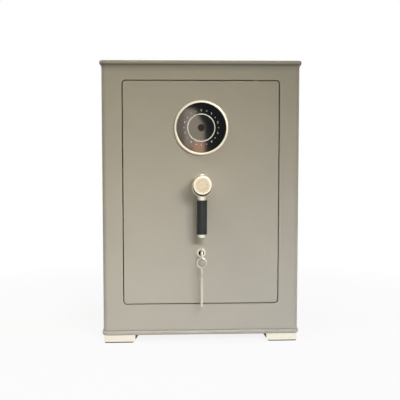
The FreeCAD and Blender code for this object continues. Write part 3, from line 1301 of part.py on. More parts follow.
os.makedirs("parts", exist_ok=True)
for name, shape in PIECES.items():
    shape.exportStep("parts/" + name + ".step")
    state = "valid" if shape.isValid() else "NOT VALID"
    print(name, len(shape.Solids), "solids", round(shape.Volume), "mm3", state)
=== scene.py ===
import json
import math

import bmesh
import bpy
from mathutils import Matrix, Vector


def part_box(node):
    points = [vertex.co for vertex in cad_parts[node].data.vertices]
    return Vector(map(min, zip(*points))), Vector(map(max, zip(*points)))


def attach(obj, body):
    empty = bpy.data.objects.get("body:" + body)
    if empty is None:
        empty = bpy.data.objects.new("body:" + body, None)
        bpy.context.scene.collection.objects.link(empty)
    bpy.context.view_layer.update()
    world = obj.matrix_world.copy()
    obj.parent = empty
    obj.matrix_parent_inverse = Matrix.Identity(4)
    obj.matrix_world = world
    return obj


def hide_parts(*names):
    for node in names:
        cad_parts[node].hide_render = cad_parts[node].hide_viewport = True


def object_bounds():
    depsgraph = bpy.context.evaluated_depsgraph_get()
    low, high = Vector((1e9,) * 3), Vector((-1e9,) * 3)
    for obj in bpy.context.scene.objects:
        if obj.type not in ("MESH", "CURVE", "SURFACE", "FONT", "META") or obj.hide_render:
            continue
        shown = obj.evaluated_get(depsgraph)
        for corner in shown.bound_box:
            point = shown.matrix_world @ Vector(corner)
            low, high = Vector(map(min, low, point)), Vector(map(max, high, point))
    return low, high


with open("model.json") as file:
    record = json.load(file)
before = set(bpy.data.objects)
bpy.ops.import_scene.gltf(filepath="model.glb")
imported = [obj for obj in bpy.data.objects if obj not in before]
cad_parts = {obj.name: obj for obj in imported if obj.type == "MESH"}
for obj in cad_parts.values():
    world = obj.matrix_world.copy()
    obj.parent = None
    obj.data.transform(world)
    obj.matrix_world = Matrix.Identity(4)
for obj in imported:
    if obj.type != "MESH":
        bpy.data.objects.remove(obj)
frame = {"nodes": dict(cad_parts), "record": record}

CAD_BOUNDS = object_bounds()
MM = 0.001
SAME_PLACE = MM / 1000

# Camera in front of the door, a little to the left and above the handle
CAMERA_PLACE = (-0.0963, -1.9085, 0.4584)
CAMERA_DOWN_DEG = 4.946
CAMERA_RIGHT_DEG = 3.072
CAMERA_LENS_MM = 74.48
CAMERA_SENSOR_MM = 36.0

# Print on the keypad glass
PRINT_THICKNESS = 0.06 * MM
PRINT_CIRCLE_RADIUS = 28.6 * MM
PRINT_CIRCLE_WIDTH = 2.0 * MM
PRINT_CIRCLE_STEPS = 128
PRINT_RING_RADIUS = 36.3 * MM
PRINT_DIGIT_SIZE = 6.4 * MM
PRINT_DOT_RADIUS = 0.95 * MM
PRINT_DOT_SIDES = 16
PRINT_DIGITS = "0123456789"

# Screws of the door's back cover
SCREW_HEAD_RADIUS = 4.0 * MM
SCREW_SHANK_RADIUS = 2.0 * MM
SCREW_HEAD_HEIGHT = 1.8 * MM
SCREW_RIM_SHARE = 0.35
SCREW_SOCKET_RADIUS = 1.9 * MM
SCREW_SOCKET_DEPTH = 1.0 * MM
SCREW_SOCKET_SIDE = math.tau / 6
SCREW_ROWS = 4
SCREW_STEPS = 24

# Arrow on the battery cover
ARROW_SIDES = 3
ARROW_RADIUS = 6.0 * MM
ARROW_HEIGHT = 0.8 * MM
ARROW_EDGE = 0.25 * MM
COVER_RIB_HEIGHT = 1.2 * MM

# Painted shade and shadow in the creases of the body, under the lip and above the bead: how far it reaches,
# and its share of the paint's colour
LIP_HEIGHT = 8.8 * MM
LIP_CREASE = 3.0 * MM
LIP_CREASE_SHADE = 0.35
BELOW_LIP_DROP = 4.0 * MM
BELOW_LIP_REACH = 11.0 * MM
BELOW_LIP_SHADE = 0.82
BEAD_CREASE = 2.0 * MM
BEAD_CREASE_SHADE = 0.6

# Colours of the finishes
PAINT_GREY = (0.42, 0.385, 0.31)
INNER_GREY = (0.075, 0.074, 0.07)
FELT_CHARCOAL = (0.036, 0.036, 0.038)
CHAMPAGNE = (0.95, 0.89, 0.75)
BEZEL_CREAM = (0.86, 0.78, 0.62)
CAP_EDGE = (0.93, 0.85, 0.67)
# Painted shade: the cap's face darker in its middle than at its lighter edge
CAP_SHADED_FACE = (0.75, 0.63, 0.45)
# Painted shade: dark brown for the shaded front face of the handle hub and the shaded stem of the key
SHADE_BROWN = (0.06, 0.05, 0.03)
FOOT_BLACK = (0.022, 0.022, 0.019)
RUBBER_BLACK = (0.016, 0.016, 0.016)
GRIP_BLACK = (0.014, 0.017, 0.016)
GLASS_BLACK = (0.010, 0.011, 0.012)
SENSOR_BROWN = (0.02, 0.014, 0.014)
INK_WHITE = (0.9, 0.9, 0.86)
BOLT_CHROME = (0.62, 0.63, 0.64)
ZINC_GREY = (0.58, 0.59, 0.58)
BUSH_BRASS = (0.70, 0.50, 0.22)
LOCK_NICKEL = (0.9, 0.84, 0.72)
KEY_NICKEL = (0.73, 0.68, 0.58)
# Painted shade: the key plug near black, as the shade in the lock's hole
PLUG_SHADE_BLACK = (0.03, 0.026, 0.018)
BOARD_GREEN = (0.012, 0.085, 0.03)
LEAD_BLACK = (0.014, 0.014, 0.014)
BATTERY_GREY = (0.06, 0.06, 0.06)
CELL_BLUE = (0.05, 0.12, 0.26)
RESET_RED = (0.42, 0.02, 0.015)

# Darkest and lightest share of a colour within each kind of finish
PAINT_TONES = (0.95, 1.05)
FELT_TONES = (0.72, 1.25)
BRUSHED_TONES = (0.96, 1.03)
TURNED_TONES = (0.95, 1.03)
PLASTIC_TONES = (0.85, 1.2)
GLASS_TONES = (0.9, 1.1)
INK_TONES = (0.9, 1.0)

# Least and greatest change of roughness within each kind of finish
PAINT_GLOSS = (-0.06, 0.06)
BRUSHED_GLOSS = (-0.05, 0.08)
TURNED_GLOSS = (-0.04, 0.06)
PLASTIC_GLOSS = (-0.07, 0.07)
GLASS_GLOSS = (0.0, 0.03)

# Roughness of the polished handle and lock, and of the keys
POLISHED = 0.26
KEY_ROUGHNESS = 0.32

# Marks in each kind of finish: sizes, depths, shares and stretches
PAINT_CLOUD = 90 * MM
PAINT_CLOUD_SHARE = 0.4
PAINT_PEEL_SHARE = 0.6
PAINT_PEEL_DEPTH = 0.03 * MM
FELT_FIBRE = 1.2 * MM
FELT_FIBRE_SHARE = (0.55, 1.25)
FELT_STRETCH = (1, 2.4, 1.7)
FELT_PATCH = 22 * MM
FELT_PATCH_SHARE = (0.45, 0.7)
FELT_DEPTH = 0.5 * MM
BRUSHED_STAIN = 30 * MM
BRUSHED_DEPTH = 0.01 * MM
TURNED_STAIN = 12 * MM
TURNED_DEPTH = 0.012 * MM
TURNED_SCALE = 0.3       # of the wave texture, for rings one metre apart
BOLT_PITCH = 0.5 * MM
BEZEL_PITCH = 0.5 * MM
HANDLE_PITCH = 0.4 * MM
PLASTIC_WEAR = 25 * MM
PLASTIC_DEPTH = 0.04 * MM
GLASS_WIPE = 14 * MM
GLASS_STRETCH = (1, 1, 2.5)
INK_GRAIN = 0.6 * MM
KEY_STRETCH = (2, 6, 1)
KEY_GRAIN = 4 * MM
KEY_BOW_LENGTH = 22.0 * MM
KEY_STEM_FADE = 2.0 * MM
SHADED_FACE_DEPTH = 0.2 * MM
CAP_RINGS = (14.5 * MM, 10.0 * MM)
CAP_FACE_FADE = 1.0 * MM
RING_LINE = 0.5 * MM
RING_SHADE = 0.5

# Floor and surroundings
WHITE = (1, 1, 1, 1)
FLOOR_HALF = 6.0
FLOOR_COLOUR = (0.8, 0.8, 0.79, 1)
FLOOR_GLOW = 0.88
FLOOR_NEAR = 0.3
FLOOR_FAR = 1.0
AMBIENT = (0.166, 0.158, 0.113, 1)

# Lamps: place, aim, width and height, watts, colour, spread of the light in degrees
COOL_LIGHT = (0.95, 1.0, 1.19)
WARM_LIGHT = (1.0, 0.965, 0.865)
DOOR_FRONT = -0.16
SAFE_MIDDLE = (0, 0, 0.3)
NO_GRID = 180
LAMPS = {
    "right_foot_lamp": ((0.45, -1.85, 1.2), (0.12, DOOR_FRONT, -0.02), (1.2, 0.3), 1.28, COOL_LIGHT, 26),
    "right_lamp": ((0.45, -1.75, 1.05), (-0.5, DOOR_FRONT, 0.25), (1.2, 0.3), 1.12, WARM_LIGHT, 34),
    "lip_lamp": ((-0.6, -0.5, 1.5), (-0.1, DOOR_FRONT, 0.45), (0.5, 0.2), 0.82, WARM_LIGHT, 70),
    "top_lamp": ((0, 0.5, 1.9), SAFE_MIDDLE, (1.4, 0.8), 6, WARM_LIGHT, NO_GRID),
    "left_back_lamp": ((-1.7, 1.3, 1.0), SAFE_MIDDLE, (0.9, 0.9), 7, COOL_LIGHT, NO_GRID),
    "right_back_lamp": ((1.7, 1.3, 1.0), SAFE_MIDDLE, (0.9, 0.9), 9, COOL_LIGHT, NO_GRID),
}
UNREFLECTED_LAMP = "lip_lamp"

# Cards behind the camera: depth, outline in x and z, colours at the foot and at the top, strength
CARDS = {
    "dark_card": (-2.65, ((-0.1, 0.25), (0.45, 0.25), (0.45, 0.7), (-0.1, 0.7)),
                  (0.05, 0.05, 0.05), (0.04, 0.045, 0.05), 1.0),
    "dim_card": (-2.62, ((-0.1, 0.3), (0.16, 0.3), (0.16, 0.4), (0.05, 0.57), (-0.1, 0.57)),
                 (0.36, 0.27, 0.18), (0.5, 0.42, 0.34), 3.0),
    "taupe_card": (-2.6, ((0.05, 0.36), (0.15, 0.36), (0.15, 0.47), (0.1, 0.555), (0.05, 0.56)),
                   (1.0, 0.80, 0.62), (1.0, 0.86, 0.69), 2.9),
    "rose_card": (-2.59, ((0.085, 0.3), (0.15, 0.3), (0.148, 0.385), (0.1, 0.395)),
                  (1.0, 0.6, 0.4), (0.9, 0.64, 0.48), 4.6),
}
CARD_FADE_LOW = 0.38
CARD_FADE_HIGH = 0.45

# Grey flags beside the safe: place in x and colour, with one outline in y and z
FLAGS = {"left_flag": (-0.9, (0.5, 0.5, 0.49)), "right_flag": (0.9, (0.6, 0.6, 0.58))}
FLAG_OUTLINE = ((-1.2, 0.0), (0.7, 0.0), (0.7, 1.3), (-1.2, 1.3))
FLAG_STRENGTH = 1.0


# Short ways to build node materials


def new_material(name):
    """A node material and its principled shader."""
    material = bpy.data.materials.new(name)
    material.use_nodes = True
    return material, material.node_tree.nodes["Principled BSDF"]


def plug(material, socket, value):
    """Sets a socket to a plain value, or links it to another node's output."""
    if isinstance(value, bpy.types.NodeSocket):
        material.node_tree.links.new(value, socket)
    else:
        socket.default_value = value


def add(material, kind, settings=(), **inputs):
    """A node of one kind, with its settings and inputs; an underline stands for a space in a name."""
    node = material.node_tree.nodes.new("ShaderNode" + kind)
    for name, value in dict(settings).items():
        setattr(node, name, value)
    for name, value in inputs.items():
        plug(material, node.inputs[name.replace("_", " ")], value)
    return node


def calculate(material, operation, *values):
    """The result of a sum with one to three values."""
    node = add(material, "Math", {"operation": operation})
    for socket, value in zip(node.inputs, values):
        plug(material, socket, value)
    return node.outputs[0]


def length_of(material, vector):
    """The length of a vector."""
    node = add(material, "VectorMath", {"operation": "LENGTH"})
    plug(material, node.inputs[0], vector)
    return node.outputs["Value"]


def along(material, axis, point):
    """A point's coordinate along one axis."""
    return add(material, "SeparateXYZ", Vector=point).outputs[axis]


def local_point(material, centre=(0, 0, 0), stretch=(1, 1, 1)):
    """The piece's own coordinates, counted from a centre and stretched along each axis."""
    point = add(material, "TexCoord").outputs["Object"]
    offset = [-place * factor for place, factor in zip(centre, stretch)]
    return add(material, "Mapping", Vector=point, Location=offset, Scale=stretch).outputs["Vector"]


def noise(material, point, grain, detail=2.0):
    """Noise with grains of about one length."""
    return add(material, "TexNoise", Vector=point, Scale=1 / grain, Detail=detail).outputs["Fac"]


def spread(material, factor, low, high):
    """A factor from 0 to 1 spread between two values."""
    return add(material, "MapRange", Value=factor, To_Min=low, To_Max=high).outputs["Result"]


def ramp(material, value, start, end):
    """0 at a start value, 1 at an end value, and even between them."""
    return add(material, "MapRange", Value=value, From_Min=start, From_Max=end).outputs["Result"]


def shade(material, factor, dark, light, low=0.3, high=0.7):
    """A colour that goes from dark to light as a factor goes from low to high."""
    node = add(material, "ValToRGB", Fac=factor)
    first, last = node.color_ramp.elements
    first.position, last.position = low, high
    first.color, last.color = (*dark, 1), (*light, 1)
    return node.outputs["Color"]


def scaled(colour, factor):
    """A colour made darker or lighter."""
    return tuple(part * factor for part in colour)


def mottle(material, factor, colour, tones):
    """A colour that a factor spreads between its darkest and its lightest tone."""
    darkest, lightest = tones
    return shade(material, factor, scaled(colour, darkest), scaled(colour, lightest))


def blend(material, share, tone, colour):
    """A tone that turns to a plain colour as a share goes from 0 to 1."""
    return add(material, "MixRGB", Fac=share, Color1=tone, Color2=(*colour, 1)).outputs["Color"]


def darken_near(material, tone, value, place, reach, dark):
    """A tone that turns dark as a value comes near a place."""
    distance = calculate(material, "ABSOLUTE", calculate(material, "SUBTRACT", value, place))
    return blend(material, ramp(material, distance, reach, 0.0), tone, dark)


def set_shader(shader, **values):
    """Plain values on a shader's own sockets."""
    for name, value in values.items():
        shader.inputs[name.replace("_", " ")].default_value = value


def set_gloss(material, shader, factor, roughness, changes):
    """Roughness that a factor spreads between its least and its greatest change."""
    least, greatest = changes
    uneven = spread(material, factor, roughness + least, roughness + greatest)
    plug(material, shader.inputs["Roughness"], uneven)


def dent(material, shader, height, depth):
    """Bump on a shader from a height pattern of a given depth."""
    bump = add(material, "Bump", Height=height, Distance=depth, Strength=1.0)
    plug(material, shader.inputs["Normal"], bump.outputs["Normal"])


def set_surface(material, surface):
    """Shows a shader as the material's surface."""
    plug(material, material.node_tree.nodes["Material Output"].inputs["Surface"], surface)


# Finishes


def powder_paint(name, colour, grain, roughness, painted_shades=()):
    """Powder-coated steel: fine orange peel, slow random changes of tone, and shade painted into the creases.
    """
    material, shader = new_material(name)
    point = local_point(material)
    peel = noise(material, point, grain, detail=3.0)
    cloud = spread(material, noise(material, point, PAINT_CLOUD), 0.0, PAINT_CLOUD_SHARE)
    mixed = calculate(material, "MULTIPLY_ADD", peel, PAINT_PEEL_SHARE, cloud)
    tone = mottle(material, mixed, colour, PAINT_TONES)
    height = along(material, "Z", point)
    # painted shade: the colour turns darker near each crease of the body, where shade falls, and below the
    # lip as its painted shadow
    for place, reach, shade_share in painted_shades:
        tone = darken_near(material, tone, height, place, reach, scaled(colour, shade_share))
    plug(material, shader.inputs["Base Color"], tone)
    set_gloss(material, shader, peel, roughness, PAINT_GLOSS)
    dent(material, shader, peel, PAINT_PEEL_DEPTH)
    return material


def felt(name, colour):
    """Short felt: tangled fibres with a soft sheen."""
    material, shader = new_material(name)
    fibres = noise(material, local_point(material, stretch=FELT_STRETCH), FELT_FIBRE, detail=5.0)
    patches = noise(material, local_point(material), FELT_PATCH)
    mixed = calculate(material, "MULTIPLY", spread(material, fibres, *FELT_FIBRE_SHARE),
                      spread(material, patches, *FELT_PATCH_SHARE))
    plug(material, shader.inputs["Base Color"], mottle(material, mixed, colour, FELT_TONES))
    set_shader(shader, Roughness=0.95, Sheen_Weight=0.35, Sheen_Roughness=0.6)
    dent(material, shader, fibres, FELT_DEPTH)
    return material


def brushed_metal(name, colour, stretch, grain, roughness):
    """Metal with fine brush marks along the axis that is least stretched."""
    material, shader = new_material(name)
    marks = noise(material, local_point(material, stretch=stretch), grain, detail=4.0)
    stain = noise(material, local_point(material), BRUSHED_STAIN)
    plug(material, shader.inputs["Base Color"], mottle(material, stain, colour, BRUSHED_TONES))
    set_gloss(material, shader, marks, roughness, BRUSHED_GLOSS)
    set_shader(shader, Metallic=1.0)
    dent(material, shader, marks, BRUSHED_DEPTH)
    return material


def turned_metal(name, colour, centre, axis, pitch, roughness):
    """Metal turned on a lathe: fine rings about an axis through a centre."""
    material, shader = new_material(name)
    point = local_point(material, centre)
    settings = {"wave_type": "RINGS", "rings_direction": axis, "wave_profile": "SIN"}
    wave = add(material, "TexWave", settings, Vector=point, Scale=TURNED_SCALE / pitch, Distortion=0.6,
               Detail=2.0)
    rings = wave.outputs["Fac"]
    stain = noise(material, point, TURNED_STAIN, detail=3.0)
    plug(material, shader.inputs["Base Color"], mottle(material, stain, colour, TURNED_TONES))
    set_gloss(material, shader, rings, roughness, TURNED_GLOSS)
    set_shader(shader, Metallic=1.0)
    dent(material, shader, rings, TURNED_DEPTH)
    return material


def metal_tone(material):
    """The colour socket of a metal and the tone that it has so far."""
    socket = material.node_tree.nodes["Principled BSDF"].inputs["Base Color"]
    return socket, socket.links[0].from_socket


def front_shaded_metal(name, colour, shade_colour, centre, front):
    """Turned metal whose flat face at the front is painted dark, as the shade in the groove behind the cap in
    front of it.
    """
    material = turned_metal(name, colour, centre, "Y", HANDLE_PITCH, POLISHED)
    socket, tone = metal_tone(material)
    depth = along(material, "Y", local_point(material, (0, front, 0)))
    # painted shade on the flat front face
    face = ramp(material, depth, 2 * SHADED_FACE_DEPTH, SHADED_FACE_DEPTH)
    plug(material, socket, blend(material, face, tone, shade_colour))
    return material


def stem_shaded_key(name, colour, stem_shade, front):
    """Brushed metal key, seen along its stem: a bright bow at the front and a stem behind it painted dark as
    shade.
    """
    material = brushed_metal(name, colour, KEY_STRETCH, KEY_GRAIN, KEY_ROUGHNESS)
    socket, tone = metal_tone(material)
    depth = along(material, "Y", local_point(material, (0, front, 0)))
    # painted shade on the stem behind the bow
    stem = ramp(material, depth, KEY_BOW_LENGTH, KEY_BOW_LENGTH + KEY_STEM_FADE)
    plug(material, socket, blend(material, stem, tone, stem_shade))
    return material


def ring_shaded_metal(name, colour, shaded_middle, ring_radii, centre, roughness):
    """Turned metal with painted shade: a darker middle than its edge, and fine dark lines painted as shade at
    rings of its face.
    """
    material = turned_metal(name, colour, centre, "Y", HANDLE_PITCH, roughness)
    socket, tone = metal_tone(material)
    radius = length_of(material, local_point(material, centre, (1, 0, 1)))
    outer_ring = ring_radii[0]
    # painted shade: the middle of the face darker than its edge
    tone = blend(material, ramp(material, radius, outer_ring, outer_ring - CAP_FACE_FADE), tone, shaded_middle)
    # painted shade: a dark line at each ring
    for ring in ring_radii:
        tone = darken_near(material, tone, radius, ring, RING_LINE, scaled(colour, RING_SHADE))
    plug(material, socket, tone)
    return material


def moulded_plastic(name, colour, grain, roughness, gloss=0.5):
    """Moulded plastic or rubber with a fine spark-eroded grain."""
    material, shader = new_material(name)
    point = local_point(material)
    pits = noise(material, point, grain, detail=3.0)
    wear = noise(material, point, PLASTIC_WEAR)
    plug(material, shader.inputs["Base Color"], mottle(material, wear, colour, PLASTIC_TONES))
    set_gloss(material, shader, pits, roughness, PLASTIC_GLOSS)
    set_shader(shader, Specular_IOR_Level=gloss)
    dent(material, shader, pits, PLASTIC_DEPTH)
    return material


def polished_glass(name, colour, index, roughness):
    """Dark polished glass with faint wipe marks in its gloss."""
    material, shader = new_material(name)
    wipes = noise(material, local_point(material, stretch=GLASS_STRETCH), GLASS_WIPE, detail=3.0)
    plug(material, shader.inputs["Base Color"], mottle(material, wipes, colour, GLASS_TONES))
    set_gloss(material, shader, wipes, roughness, GLASS_GLOSS)
    set_shader(shader, IOR=index)
    return material


def printed_ink(name, colour):
    """Screen-printed ink, slightly uneven."""
    material, shader = new_material(name)
    cover = noise(material, local_point(material), INK_GRAIN)
    plug(material, shader.inputs["Base Color"], mottle(material, cover, colour, INK_TONES))
    set_shader(shader, Roughness=0.6)
    return material


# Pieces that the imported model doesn't have


def add_piece(name, shape, body, material):
    """A flat-shaded object made from a bmesh, with its place in its mesh, that rides on a body."""
    bmesh.ops.recalc_face_normals(shape, faces=shape.faces)
    mesh = bpy.data.meshes.new(name)
    shape.to_mesh(mesh)
    shape.free()
    mesh.materials.append(material)
    mesh.shade_flat()
    piece = bpy.data.objects.new(name, mesh)
    bpy.context.scene.collection.objects.link(piece)
    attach(piece, body)
    return piece


def add_cylinder(shape, radius, length, sides, place):
    """A closed cylinder or prism along the Z axis of its place."""
    bmesh.ops.create_cone(shape, cap_ends=True, segments=sides, radius1=radius, radius2=radius, depth=length,
                          matrix=place)


def spun(shape, profile, centre, steps):
    """A closed profile of radius and depth, spun about the line along Y through a centre."""
    corners = [shape.verts.new(Vector(centre) + Vector((radius, depth, 0))) for radius, depth in profile]
    edges = [shape.edges.new(pair) for pair in zip(corners, corners[1:] + corners[:1])]
    bmesh.ops.spin(shape, geom=corners + edges, cent=centre, axis=(0, 1, 0), angle=math.tau,
                   steps=steps, use_merge=True)


def tipped(degrees):
    """A turn about the X axis."""
    return Matrix.Rotation(math.radians(degrees), 4, "X")


def dial_centre():
    """Middle of the keypad glass on its front face."""
    low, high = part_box("touch_glass")
    return Vector(((low.x + high.x) / 2, low.y, (low.z + high.z) / 2))


def print_circle(ink):
    """White circle printed on the glass."""
    shape = bmesh.new()
    inner = PRINT_CIRCLE_RADIUS - PRINT_CIRCLE_WIDTH / 2
    outer = PRINT_CIRCLE_RADIUS + PRINT_CIRCLE_WIDTH / 2
    profile = [(inner, 0), (inner, -PRINT_THICKNESS), (outer, -PRINT_THICKNESS), (outer, 0)]
    spun(shape, profile, dial_centre(), PRINT_CIRCLE_STEPS)
    return add_piece("dial_circle", shape, "door", ink)


def on_ring(turn):
    """A place on the ring of marks, a share of a turn clockwise from the top, facing forwards."""
    angle = turn * math.tau
    offset = Vector((math.sin(angle), 0, math.cos(angle))) * PRINT_RING_RADIUS
    return Matrix.Translation(dial_centre() + offset) @ tipped(90)


def digit_mesh(character):
    """One digit as a thin mesh that faces up, its middle at the origin."""
    curve = bpy.data.curves.new("digit", "FONT")
    curve.body = character
    curve.size = PRINT_DIGIT_SIZE
    curve.extrude = PRINT_THICKNESS / 2
    curve.align_x = "CENTER"
    curve.align_y = "CENTER"
    holder = bpy.data.objects.new("digit", curve)
    bpy.context.scene.collection.objects.link(holder)
    bpy.context.view_layer.update()
    mesh = bpy.data.meshes.new_from_object(holder.evaluated_get(bpy.context.evaluated_depsgraph_get()))
    bpy.data.objects.remove(holder)
    bpy.data.curves.remove(curve)
    return mesh


def print_marks(ink):
    """Digits round the glass with a dot between each two."""
    shape = bmesh.new()
    count = len(PRINT_DIGITS)
    for step, character in enumerate(PRINT_DIGITS):
        mesh = digit_mesh(character)
        mesh.transform(on_ring(step / count))
        shape.from_mesh(mesh)
        bpy.data.meshes.remove(mesh)
        add_cylinder(shape, PRINT_DOT_RADIUS, PRINT_THICKNESS, PRINT_DOT_SIDES, on_ring((step + 0.5) / count))
    bmesh.ops.remove_doubles(shape, verts=shape.verts, dist=SAME_PLACE)
    return add_piece("dial_marks", shape, "door", ink)


def screw_head(shape, centre):
    """A button head with a round socket, spun on the cover, that points backwards; returns its corners."""
    rim = SCREW_HEAD_HEIGHT * SCREW_RIM_SHARE
    crown = SCREW_HEAD_RADIUS * (1 - SCREW_RIM_SHARE)
    before = set(shape.verts)
    profile = [(SCREW_SOCKET_RADIUS, SCREW_HEAD_HEIGHT - SCREW_SOCKET_DEPTH),
               (SCREW_SOCKET_RADIUS, SCREW_HEAD_HEIGHT), (crown, SCREW_HEAD_HEIGHT),
               (SCREW_HEAD_RADIUS - rim / 2, SCREW_HEAD_HEIGHT - rim / 2), (SCREW_HEAD_RADIUS, rim),
               (SCREW_HEAD_RADIUS, 0), (SCREW_SOCKET_RADIUS, 0)]
    spun(shape, profile, centre, SCREW_STEPS)
    return [vert for vert in shape.verts if vert not in before]


def screw_socket(shape, centre, head):
    """Makes the round socket of a screw head six-sided and closes its floor."""
    reach = SCREW_SOCKET_RADIUS + 10 * SAME_PLACE
    socket = [vert for vert in head
              if vert.co.y > centre.y + SAME_PLACE and (vert.co - centre).xz.length < reach]
    flat = SCREW_SOCKET_RADIUS * math.cos(SCREW_SOCKET_SIDE / 2)
    for vert in socket:
        arm = vert.co - centre
        turn = math.atan2(arm.z, arm.x) % SCREW_SOCKET_SIDE - SCREW_SOCKET_SIDE / 2
        share = flat / math.cos(turn) / arm.xz.length
        vert.co = centre + Vector((arm.x * share, arm.y, arm.z * share))
    middle_depth = centre.y + SCREW_HEAD_HEIGHT - SCREW_SOCKET_DEPTH / 2
    floor = [vert for vert in socket if vert.co.y < middle_depth]
    edges = {edge for vert in floor for edge in vert.link_edges if edge.other_vert(vert) in floor}
    bmesh.ops.contextual_create(shape, geom=list(edges))


def back_cover_screws(metal):
    """Screws along both upright edges of the back cover, in place of the plain ones."""
    low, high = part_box("cover_screws")
    cover_back = high.y - SCREW_HEAD_HEIGHT
    shank = cover_back - low.y
    bottom = low.z + SCREW_HEAD_RADIUS
    spacing = (high.z - low.z - 2 * SCREW_HEAD_RADIUS) / (SCREW_ROWS - 1)
    shape = bmesh.new()
    for x in (low.x + SCREW_HEAD_RADIUS, high.x - SCREW_HEAD_RADIUS):
        for row in range(SCREW_ROWS):
            centre = Vector((x, cover_back, bottom + row * spacing))
            screw_socket(shape, centre, screw_head(shape, centre))
            shank_middle = Matrix.Translation(centre - Vector((0, shank / 2, 0)))
            add_cylinder(shape, SCREW_SHANK_RADIUS, shank, SCREW_STEPS, shank_middle @ tipped(90))
    piece = add_piece("socket_screws", shape, "door", metal)
    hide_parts("cover_screws")
    return piece


def battery_cover_arrow(plastic):
    """Raised arrow on the battery cover that shows which way it slides."""
    low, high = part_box("battery_cover")
    centre = Vector(((low.x + high.x) / 2, high.y - COVER_RIB_HEIGHT, (low.z + high.z) / 2))
    upright = tipped(-90) @ Matrix.Rotation(math.radians(180), 4, "Z")
    shape = bmesh.new()
    add_cylinder(shape, ARROW_RADIUS, ARROW_HEIGHT, ARROW_SIDES, Matrix.Translation(centre) @ upright)
    bmesh.ops.bevel(shape, geom=shape.edges, offset=ARROW_EDGE, affect="EDGES", segments=2, profile=0.5,
                    material=-1)
    return add_piece("battery_cover_arrow", shape, "battery_cover_set", plastic)


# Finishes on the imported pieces


def middle(node):
    """Middle of a node's box."""
    low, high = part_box(node)
    return (low + high) / 2


def painted_crease_shade():
    """Height, reach and share of the painted shade in the creases above the bead and under the lip, and of
    the painted shadow below the lip.
    """
    tray_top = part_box("base_tray")[1].z
    lip_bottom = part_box("top_cap")[1].z - LIP_HEIGHT
    return ((tray_top, BEAD_CREASE, BEAD_CREASE_SHADE),
            (lip_bottom - BELOW_LIP_DROP, BELOW_LIP_REACH, BELOW_LIP_SHADE),
            (lip_bottom, LIP_CREASE, LIP_CREASE_SHADE))


def make_finishes():
    """One finish for each material slot of the record."""
    return {
        "grey_paint": powder_paint("warm_grey_powder_paint", PAINT_GREY, grain=0.9 * MM, roughness=0.48,
                                   painted_shades=painted_crease_shade()),
        "inner_paint": powder_paint("dark_grey_inner_paint", INNER_GREY, grain=0.7 * MM, roughness=0.5),
        "felt": felt("charcoal_felt", FELT_CHARCOAL),
        "champagne_metal": brushed_metal("champagne_metal", CHAMPAGNE, stretch=(1, 14, 14), grain=3 * MM,
                                         roughness=POLISHED),
        "foot_black": moulded_plastic("black_moulded_plastic", FOOT_BLACK, grain=0.8 * MM, roughness=0.5),
        "black_rubber": moulded_plastic("black_rubber", RUBBER_BLACK, grain=1.1 * MM, roughness=0.8),
        "grip_black": moulded_plastic("grip_black_plastic", GRIP_BLACK, grain=0.6 * MM, roughness=0.4,
                                      gloss=0.4),
        "dark_glass": polished_glass("dark_keypad_glass", GLASS_BLACK, index=1.75, roughness=0.03),
        "sensor_black": polished_glass("fingerprint_window", SENSOR_BROWN, index=1.3, roughness=0.12),
        "bolt_steel": turned_metal("chromed_bolt_steel", BOLT_CHROME, centre=(0, 0, 0), axis="X",
                                   pitch=BOLT_PITCH, roughness=0.16),
        "zinc_steel": brushed_metal("zinc_plated_steel", ZINC_GREY, stretch=(1, 5, 9), grain=4 * MM,
                                    roughness=0.36),
        "bush_brass": brushed_metal("bush_brass", BUSH_BRASS, stretch=(1, 6, 6), grain=3 * MM, roughness=0.3),
        "key_nickel": brushed_metal("nickel_plated_key", KEY_NICKEL, KEY_STRETCH, KEY_GRAIN, KEY_ROUGHNESS),
        "board_green": moulded_plastic("green_circuit_board", BOARD_GREEN, grain=0.5 * MM, roughness=0.42),
        "lead_black": moulded_plastic("black_lead_sheath", LEAD_BLACK, grain=0.7 * MM, roughness=0.5),
        "battery_plastic": moulded_plastic("grey_battery_plastic", BATTERY_GREY, grain=0.6 * MM,
                                           roughness=0.5),
        "cell_wrap": moulded_plastic("cell_wrap", CELL_BLUE, grain=0.5 * MM, roughness=0.3),
        "reset_red": moulded_plastic("red_reset_button", RESET_RED, grain=0.5 * MM, roughness=0.38),
    }


def hardware_finishes():
    """Finishes of the keypad, handle and lock pieces that don't have the finish of their slot."""
    dial, handle, lock = middle("keypad_bezel"), middle("handle_cap"), middle("lock_barrel")
    hub_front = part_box("handle_hub")[0].y
    key_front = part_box("door_key")[0].y
    return {
        "keypad_bezel": turned_metal("turned_keypad_bezel", BEZEL_CREAM, dial, "Y", BEZEL_PITCH,
                                     roughness=0.34),
        "handle_hub": front_shaded_metal("turned_handle_hub", CHAMPAGNE, SHADE_BROWN, handle, hub_front),
        "handle_cap": ring_shaded_metal("turned_handle_cap", CAP_EDGE, CAP_SHADED_FACE, CAP_RINGS, handle,
                                   roughness=0.28),
        "lever_sleeve": turned_metal("turned_lever_sleeve", CHAMPAGNE, handle, "Z", HANDLE_PITCH, POLISHED),
        "lever_end_cap": turned_metal("turned_lever_end", CHAMPAGNE, handle, "Z", HANDLE_PITCH, POLISHED),
        # painted shade: the plug is near black, as the shade in the lock's hole
        "key_plug": brushed_metal("shade_dark_key_plug", PLUG_SHADE_BLACK, stretch=(1, 6, 6), grain=3 * MM,
                                  roughness=0.45),
        "door_key": stem_shaded_key("door_key_nickel", LOCK_NICKEL, SHADE_BROWN, key_front),
        "lock_barrel": turned_metal("turned_lock_barrel", LOCK_NICKEL, lock, "Y", HANDLE_PITCH, POLISHED),
    }


